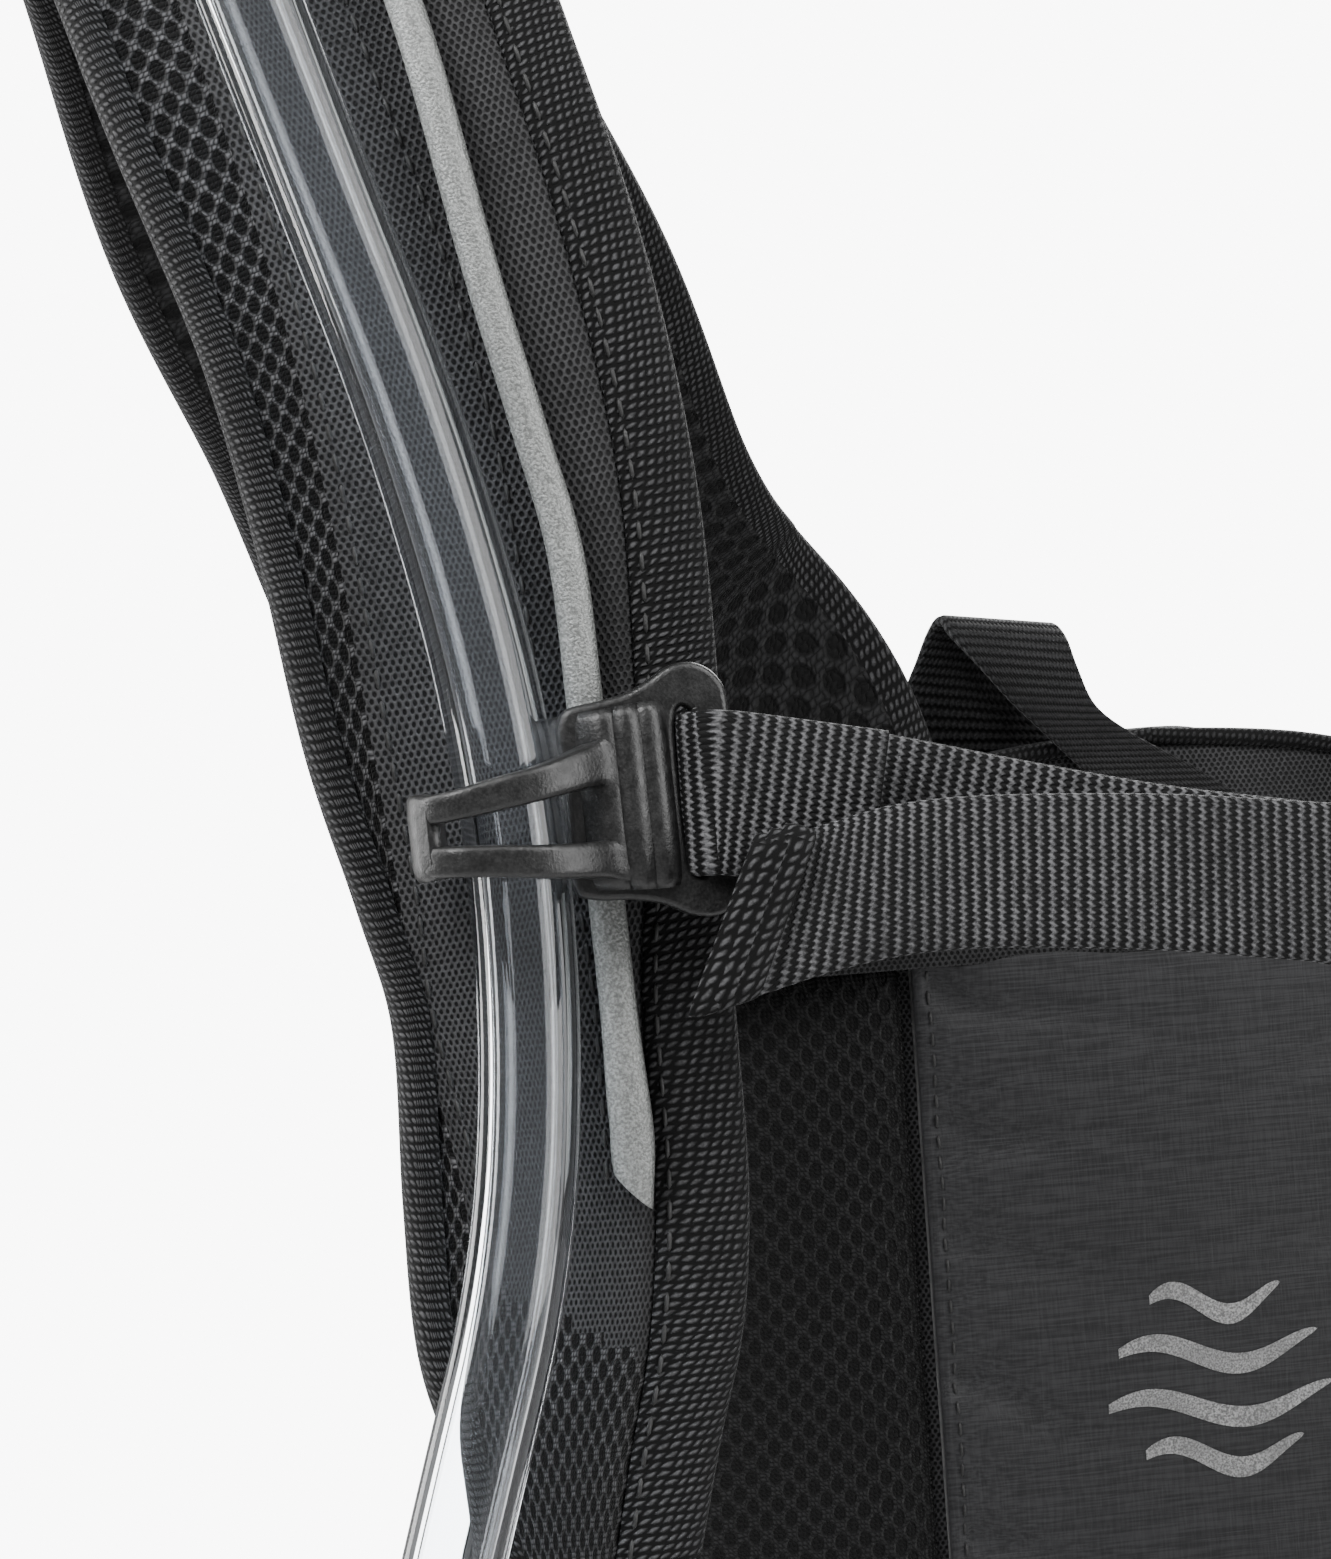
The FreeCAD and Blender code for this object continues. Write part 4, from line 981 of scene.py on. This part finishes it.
# Rings of the front panel: how far in from the rim, and how far behind the front plane.
PANEL_RINGS = ((0.3, 8), (0.8, 5), (2, 2.6), (4, 0.9), (7, -0.2), (11, -1.1), (14, -1.7),
               (17, -2.2), (20, -2.6), (24, -2.9), (28, -3.2), (33, -3.5), (38, -3.8),
               (45, -4), (52, -4.2), (60, -4.3), (68, -4.4), (77, -4.4), (86, -4.4),
               (94, -4.4), (102, -4.4))


def bag_shell():
    """Gusset and front panel in one soft shell: it bulges between its seams and sags a little."""
    steps = [(inset, lambda z, y=y: y) for inset, y in ((9, 12.3), (2, 12.2), (0.7, 13.2), (0.2, 16))]
    for f in (k / 7 for k in range(1, 7)):
        steps.append((0.2 - 0.9 * math.sin(math.pi * f), lambda z, f=f: 16 + (front_y(z) - 24) * f))
    gusset = len(steps)
    steps += [(inset, lambda z, back=back: front_y(z) - back) for inset, back in PANEL_RINGS]
    rings = []
    for k, (inset, y_of) in enumerate(steps):
        ring, soft = [], min(1, k / 4)
        for x, y, z in rim_ring(inset, y_of):
            fold = noise.noise(Vector((x * 0.035, y * 0.05, z * 0.022))) * soft
            crease = noise.noise(Vector((x * 0.12 + 7, y * 0.12, z * 0.05))) * soft
            d = Vector((x / 100, 0, (z + 226) / 210)) if k <= gusset else Vector((0, 1, 0))
            q = Vector((x, y, z)) + d.normalized() * (1.9 * fold + 0.8 * crease)
            if k > gusset:
                q.y = min(q.y, front_y(q.z) + 0.1 + 3.5 * (1 - math.exp(-(off_zip(q.x, q.z) / 16) ** 2)))
            ring.append(P(*q))
        rings.append(ring)
    mesh = skin(rings, [k * 5 for k in range(len(RIM) + 1)], [k * 6 for k in range(len(steps))], caps=False)
    reworked(mesh, lambda work: bmesh.ops.remove_doubles(work, verts=work.verts, dist=0.02 * MM))
    obj = add_object("bag_shell", mesh, OXFORD_BAG, "pack",
                     ["top_gusset", "side_gusset_right", "side_gusset_left", "bottom_gusset", "front_panel"])
    obj.modifiers.new("smooth", "SUBSURF").render_levels = 1


def rim_tape(name, y_of, width, thick):
    """Folded tape or piping sewn along a seam of the bag."""
    points = [P(*p) for p in rim_ring(0.2, y_of)]
    shape, across = rounded_strip(width, thick), Vector((0, 1, 0))
    rings, vs, run, n = [], [], 0, len(points)
    for i in range(n + 1):
        p, q, r = points[i % n], points[(i + 1) % n], points[i - 1]
        rings.append(section(p, across, (q - r).normalized().cross(across).normalized(), shape))
        vs.append(run)
        run += (q - p).length / MM
    add_object(name, skin(rings, girth(shape), vs, caps=False), EDGE_TAPE, "pack")


def slab_panel(name, x_of, z_low, z_high, front, cols, rows, paint, node, back=lambda x, z: 3.9):
    """A closed sewn panel: x_of(z) gives its sides, front(x, z) and back(x, z) its faces."""
    sheets = []
    for face in (front, back):
        sheet = []
        for i in range(rows + 1):
            z = z_low + (z_high(0) - z_low) * i / rows
            lo, hi = x_of(z)
            spots = [(x, min(z, z_high(x))) for x in (lo + (hi - lo) * j / cols for j in range(cols + 1))]
            sheet.append([P(x, face(x, at), at) for x, at in spots])
        sheets.append(sheet)
    rings = [f + b[::-1] for f, b in zip(*sheets)]
    mesh = skin(rings, [k * 5 for k in range(len(rings[0]) + 1)], [k * 5 for k in range(rows + 1)])
    return add_object(name, mesh, paint, "pack", [node])


def puffed(obj, cap, voxel, pressure):
    """Let the padding swell under its cloth, no further than cap millimetres."""
    obj.data.remesh_voxel_size = voxel * MM
    with bpy.context.temp_override(object=obj, active_object=obj, selected_objects=[obj]):
        bpy.ops.object.voxel_remesh()
    start = [v.co.copy() for v in obj.data.vertices]
    cloth = obj.modifiers.new("cloth", "CLOTH")
    cloth.settings.use_pressure = True
    cloth.settings.uniform_pressure_force = pressure
    cloth.settings.effector_weights.gravity = 0
    for step in range(1, 21):
        bpy.context.scene.frame_set(step)
    moved = obj.evaluated_get(bpy.context.evaluated_depsgraph_get()).data
    ends = [v.co.copy() for v in moved.vertices]
    obj.modifiers.remove(cloth)
    bpy.context.scene.frame_set(1)
    for vert, a, b in zip(obj.data.vertices, start, ends):
        move = b - a
        if move.length > cap * MM:
            move *= cap * MM / move.length
        vert.co = a + move
    obj.data.polygons.foreach_set("use_smooth", [True] * len(obj.data.polygons))
    obj.modifiers.new("smooth", "SUBSURF").render_levels = 1


def pillow(d, rise, reach):
    """Rise of a padded face at a distance d from its seam."""
    return rise * (1 - math.exp(-max(0, d) / reach))


def pad_face(x, z):
    """Face of a back pad, crowned between its seams, with two channels across it."""
    d = min(abs(x) - 36.5, side_x(z) - 6.5 - abs(x), -43 - z, z + 423)
    return 3.4 - pillow(d, 4.2, 5) + sum(0.9 * math.exp(-((z + c) / 3) ** 2) for c in (150, 270))


for side_name, mirror in SIDES:
    def pad_sides(z, mirror=mirror):
        near, far = 37, side_x(z) - 7
        return (near, far) if mirror else (-far, -near)

    puffed(slab_panel("back_pad_" + side_name, pad_sides, -423, lambda x: -43, pad_face, 14, 90, BACK_MESH,
                      "back_mesh_pad_" + side_name), 1.6, 4.5, 4)


def panel_y(x, z):
    """Face of the centre panel: it pulls in at its seams, with soft crosswise creases from the right one."""
    d = min(36 - abs(x), -42.5 - z, z + 423.5)
    warp = 5 * noise.noise(Vector((x * 0.05, 0, z * 0.03)))
    near, far = math.exp(-(x + 36) / 16), math.exp(-(36 - x) / 16)
    fold = (1 - abs(math.sin((z + 0.25 * x + warp) * math.pi / 19))) ** 2 * near
    fold += 0.6 * (1 - abs(math.sin((z - 0.2 * x + 1.4 * warp) * math.pi / 11))) ** 3 * near * near
    fold += 0.7 * (1 - abs(math.sin((z - 0.3 * x - warp) * math.pi / 23))) ** 2 * far
    soft = noise.noise(Vector((x * 0.03, 3, z * 0.06)))
    return 1.2 - pillow(d, 1.6, 4) + 2.6 * fold * min(1, d / 3) - 0.6 * soft


slab_panel("centre_panel", lambda z: (-36.4, 36.4), -423.5, lambda x: -42, panel_y, 48, 240, RIPSTOP,
                     "back_centre_panel")


def airflow_mark(n=48):
    """A generic printed mark: a stack of tapered wavy lines that stand for moving air."""
    verts, faces = [], []
    for row, (lift, start, end) in enumerate(((11, -8, 11), (4, -13, 16), (-3.5, -15, 18), (-10.5, -10, 13))):
        for k in range(n + 1):
            t = k / n
            x = 1.7 + start + (end - start) * t
            z = -106.5 + lift + 2 * math.sin(t * math.tau * 1.1 + 0.5)
            half = 1.5 * math.sin(math.pi * min(1, 0.06 + t * 0.94)) ** 0.5
            verts += [P(x, panel_y(x, z + s) - 0.12, z + s) for s in (-half, half)]
            if k < n:
                b = row * (n + 1) * 2 + 2 * k
                faces.append((b, b + 2, b + 3, b + 1))
    add_object("airflow_mark", new_mesh("airflow_mark", verts, faces), MARK, "pack")


def yoke_front(x, z):
    d = min(top_z(x) - 2 - z, side_x(min(z, -40)) - 3 - abs(x))
    return 1.6 - pillow(d, 1.4, 4) + 0.3 * noise.noise(Vector((x * 0.05, 0, z * 0.08)))


slab_panel("yoke_cloth", lambda z: (-84, 84), -46, lambda x: top_z(x) - 1, yoke_front, 60, 14,
                     OXFORD_BAG, "yoke_panel")
bag_shell()
airflow_mark()
rim_tape("back_edge_tape", lambda z: 7, 13, 2.6)
rim_tape("front_edge_piping", lambda z: front_y(z) - 4.6, 3.2, 3.2)

TOOTH = ((-0.55, -0.35), (0.55, -0.35), (0.4, 1.15), (-0.4, 1.15))      # a zip tooth: along, across
BOX = ((0, 1, 2, 3), (7, 6, 5, 4), (0, 4, 5, 1), (1, 5, 6, 2), (2, 6, 7, 3), (3, 7, 4, 0))


def zip_line(name, path, out, tape):
    """Two rows of teeth and two tapes along a path of points; tape is a tape's width."""
    verts, faces = [], []
    for i, p in enumerate(path):
        t = heading(path, i)
        side = t.cross(out).normalized() * (1 if i % 2 else -1)
        faces += [tuple(len(verts) + k for k in face) for face in BOX]
        verts += [p + (t * a + side * b + out * h) * MM for h in (0.1, 0.95) for a, b in TOOTH]
    add_object(name + "_teeth", new_mesh(name, verts, faces), METAL, "pack", [name + "_chain"],
               smooth=False)
    for sign, edge in ((-1, "inner"), (1, "outer")):
        rows = []
        for i in range(0, len(path), 4):
            side = heading(path, i).cross(out).normalized()
            rows.append((*((path[i] + side * (sign * (0.5 + tape / 2) * MM)) / MM), *side))
        ribbon("%s_tape_%s" % (name, edge), rows, EDGE_TAPE, "pack", width=tape, thick=0.7, per=2)


turns = [math.radians(-ZIP_SPAN + 2 * ZIP_SPAN * k / 232) for k in range(233)]
arch = [P(ZIP_R * math.sin(a), front_y(ARCH_Z + ZIP_R * math.cos(a)), ARCH_Z + ZIP_R * math.cos(a)) for a in turns]
zip_line("main_zip", arch, Vector((0, 0.998, 0.0618)), 6)
POCKET_HALF, POCKET_TOP, POCKET_LOW, POCKET_CORNER = 82, -205, -405, 22
mouth = [P(-69.5 + 139 * k / 146, front_y(POCKET_TOP) + 7, POCKET_TOP) for k in range(147)]
zip_line("pocket_zip", mouth, Vector((0, 0, 1)), 2.3)


def seam_line(x, z_from=-46, z_to=-420, n=200):
    """A row of stitches down the back panel."""
    heights = [z_from + (z_to - z_from) * k / n for k in range(n + 1)]
    return [(P(x, panel_y(x, z) - 0.1, z), Vector((0, -1, 0))) for z in heights]


stitches("centre_panel_stitching", [seam_line(-34.4), seam_line(34.4)])


def pocket_half(z):
    """Half width of the front pocket, with its rounded corners."""
    e = min(POCKET_TOP - z, z - POCKET_LOW)
    if e >= POCKET_CORNER:
        return POCKET_HALF
    return POCKET_HALF - POCKET_CORNER + math.sqrt(max(0, POCKET_CORNER ** 2 - (POCKET_CORNER - e) ** 2))


def pocket_front(x, z):
    d = min(pocket_half(z) - abs(x), z - POCKET_LOW)
    return front_y(z) + 2 + pillow(d, 11, 5) * pillow(POCKET_TOP - z, 1, 0.8)


puffed(slab_panel("front_pocket_cloth", lambda z: (-pocket_half(z), pocket_half(z)), POCKET_LOW + 0.5,
                  lambda x: POCKET_TOP - 0.6, pocket_front, 34, 44, OXFORD_BAG, "front_pocket",
                  back=lambda x, z: front_y(z) + 0.6), 1.5, 3.5, 3)

# Anchor tabs: distance from the middle, depth, height and width along each.
TAB = [(101, 5.9, -399, 34), (108, 5.8, -399.4, 26), (115, 5.8, -399.8, 18), (121.5, 5.8, -400, 12)]
for side_name, sign in (("right", -1), ("left", 1)):
    ribbon("anchor_tab_cloth_" + side_name, [(sign * x, y, z, 0, 0, 1, w) for x, y, z, w in TAB], OXFORD, "pack",
           ["anchor_tabs"] if sign < 0 else [], width=34, thick=1.6, per=4)

# ---------------------------------------------------------------- CAD nodes that stay

KEPT = (
    (PLASTIC, ("buckle_bar_half", "buckle_prong_upper", "buckle_prong_lower", "buckle_socket_half",
               "ladder_lock_right", "ladder_lock_left", "valve_body", "valve_lever", "connector_body",
               "hanger_hook")),
    (SILICONE, ("mouthpiece",)),
    (RUBBER, ("hose_port", "hose_keepers", "main_pull_right", "main_pull_left", "pocket_pull")),
    (METAL, ("main_slider_right", "main_slider_left", "pocket_slider")),
    (BLUE, ("reservoir_cap", "reservoir_neck", "reservoir_outlet", "connector_button")),
    (FILM, ("reservoir_bag",)),
    (OXFORD_BAG, ("hanger_loop", "reservoir_sleeve", "back_foam")),
)
for paint, names in KEPT:
    for node in (NODES[name] for name in names):
        node.data.materials.clear()
        node.data.materials.append(paint.mat)
        if paint not in (FILM, OXFORD_BAG):
            edge = node.modifiers.new("soft edge", "BEVEL")
            edge.width = 0.35 * MM
            edge.segments = 3
            edge.limit_method = "ANGLE"
            edge.angle_limit = math.radians(35)
            edge.harden_normals = False

# ---------------------------------------------------------------- stage, light and camera

def soft_light(name, at, toward, size, power):
    data = bpy.data.lights.new(name, "AREA")
    data.shape = "RECTANGLE"
    data.size, data.size_y = size
    data.energy = power
    obj = new_object(name, data)
    obj.location = at
    obj.rotation_euler = (Vector(toward) - Vector(at)).to_track_quat("-Z", "Y").to_euler()
    return obj


def floor(radius=2.2, z=-0.75, sides=96):
    ring = [(radius * math.cos(a), radius * math.sin(a), z) for a in (k * math.tau / sides for k in range(sides))]
    mesh = new_mesh("floor", ring, [list(range(sides))])
    pale = Paint("pale_floor", 0.9)
    pale.color((0.82, 0.82, 0.82))
    mesh.materials.append(pale.mat)
    new_object("floor", mesh)


def world():
    """Pale surroundings: dim as a light, bright to the camera and through the clear plastic that it sees."""
    sky = bpy.data.worlds.new("pale")
    bpy.context.scene.world = sky
    sky.use_nodes = True
    nodes = Nodes(sky.node_tree)
    back = nodes.tree.nodes["Background"]
    back.inputs[0].default_value = (1, 1, 1, 1)
    path = nodes.node("LightPath").outputs
    bounces = nodes.op("ADD", path["Diffuse Depth"], path["Glossy Depth"])
    through = nodes.op("MULTIPLY", path["Is Transmission Ray"], nodes.op("LESS_THAN", bounces, 0.5))
    power = nodes.node("MapRange")
    power.inputs["To Min"].default_value, power.inputs["To Max"].default_value = 0.3, 9
    nodes.put(power.inputs["Value"], nodes.op("MAXIMUM", path["Is Camera Ray"], through))
    nodes.put(back.inputs[1], power.outputs[0])


def camera():
    """The photograph's view: 9 degrees to the side, rolled by 4, with a focal length of 3180 of its pixels."""
    yaw, roll = math.radians(9), math.radians(4)
    look = Vector((math.sin(yaw), math.cos(yaw), 0))
    level, upright = Vector((math.cos(yaw), -math.sin(yaw), 0)), Vector((0, 0, 1))
    up = upright * math.cos(roll) + level * math.sin(roll)
    right = level * math.cos(roll) - upright * math.sin(roll)
    data = bpy.data.cameras.new("camera")
    data.sensor_fit = "HORIZONTAL"
    data.sensor_width = 36
    data.lens = data.sensor_width * 3180 / 1331
    data.clip_start = 0.01
    obj = new_object("camera", data)
    turn = Matrix((right, up, -look)).transposed().to_4x4()
    obj.matrix_world = Matrix.Translation(P(-137, -428, -17.5)) @ turn
    bpy.context.scene.camera = obj


floor()
world()
camera()
soft_light("key", (-0.8, -0.9, 1), (-0.1, -0.1, -0.02), (0.6, 0.9), 32)
soft_light("fill", (0.45, -0.75, 0.95), (-0.03, -0.02, -0.08), (0.4, 0.6), 9)
soft_light("window", (1.1, -0.9, 0.2), (-0.12, -0.13, 0), (0.8, 1.6), 26).visible_diffuse = False
soft_light("back", (0.9, 1.4, 1), (0, 0.06, -0.2), (0.9, 0.9), 34)
soft_light("back_low", (-1.2, 1.1, 0.1), (0, 0.06, -0.2), (0.5, 1.2), 12)
soft_light("rim", (-1, 0.1, 0.4), (-0.1, -0.1, 0), (0.2, 1.2), 12)
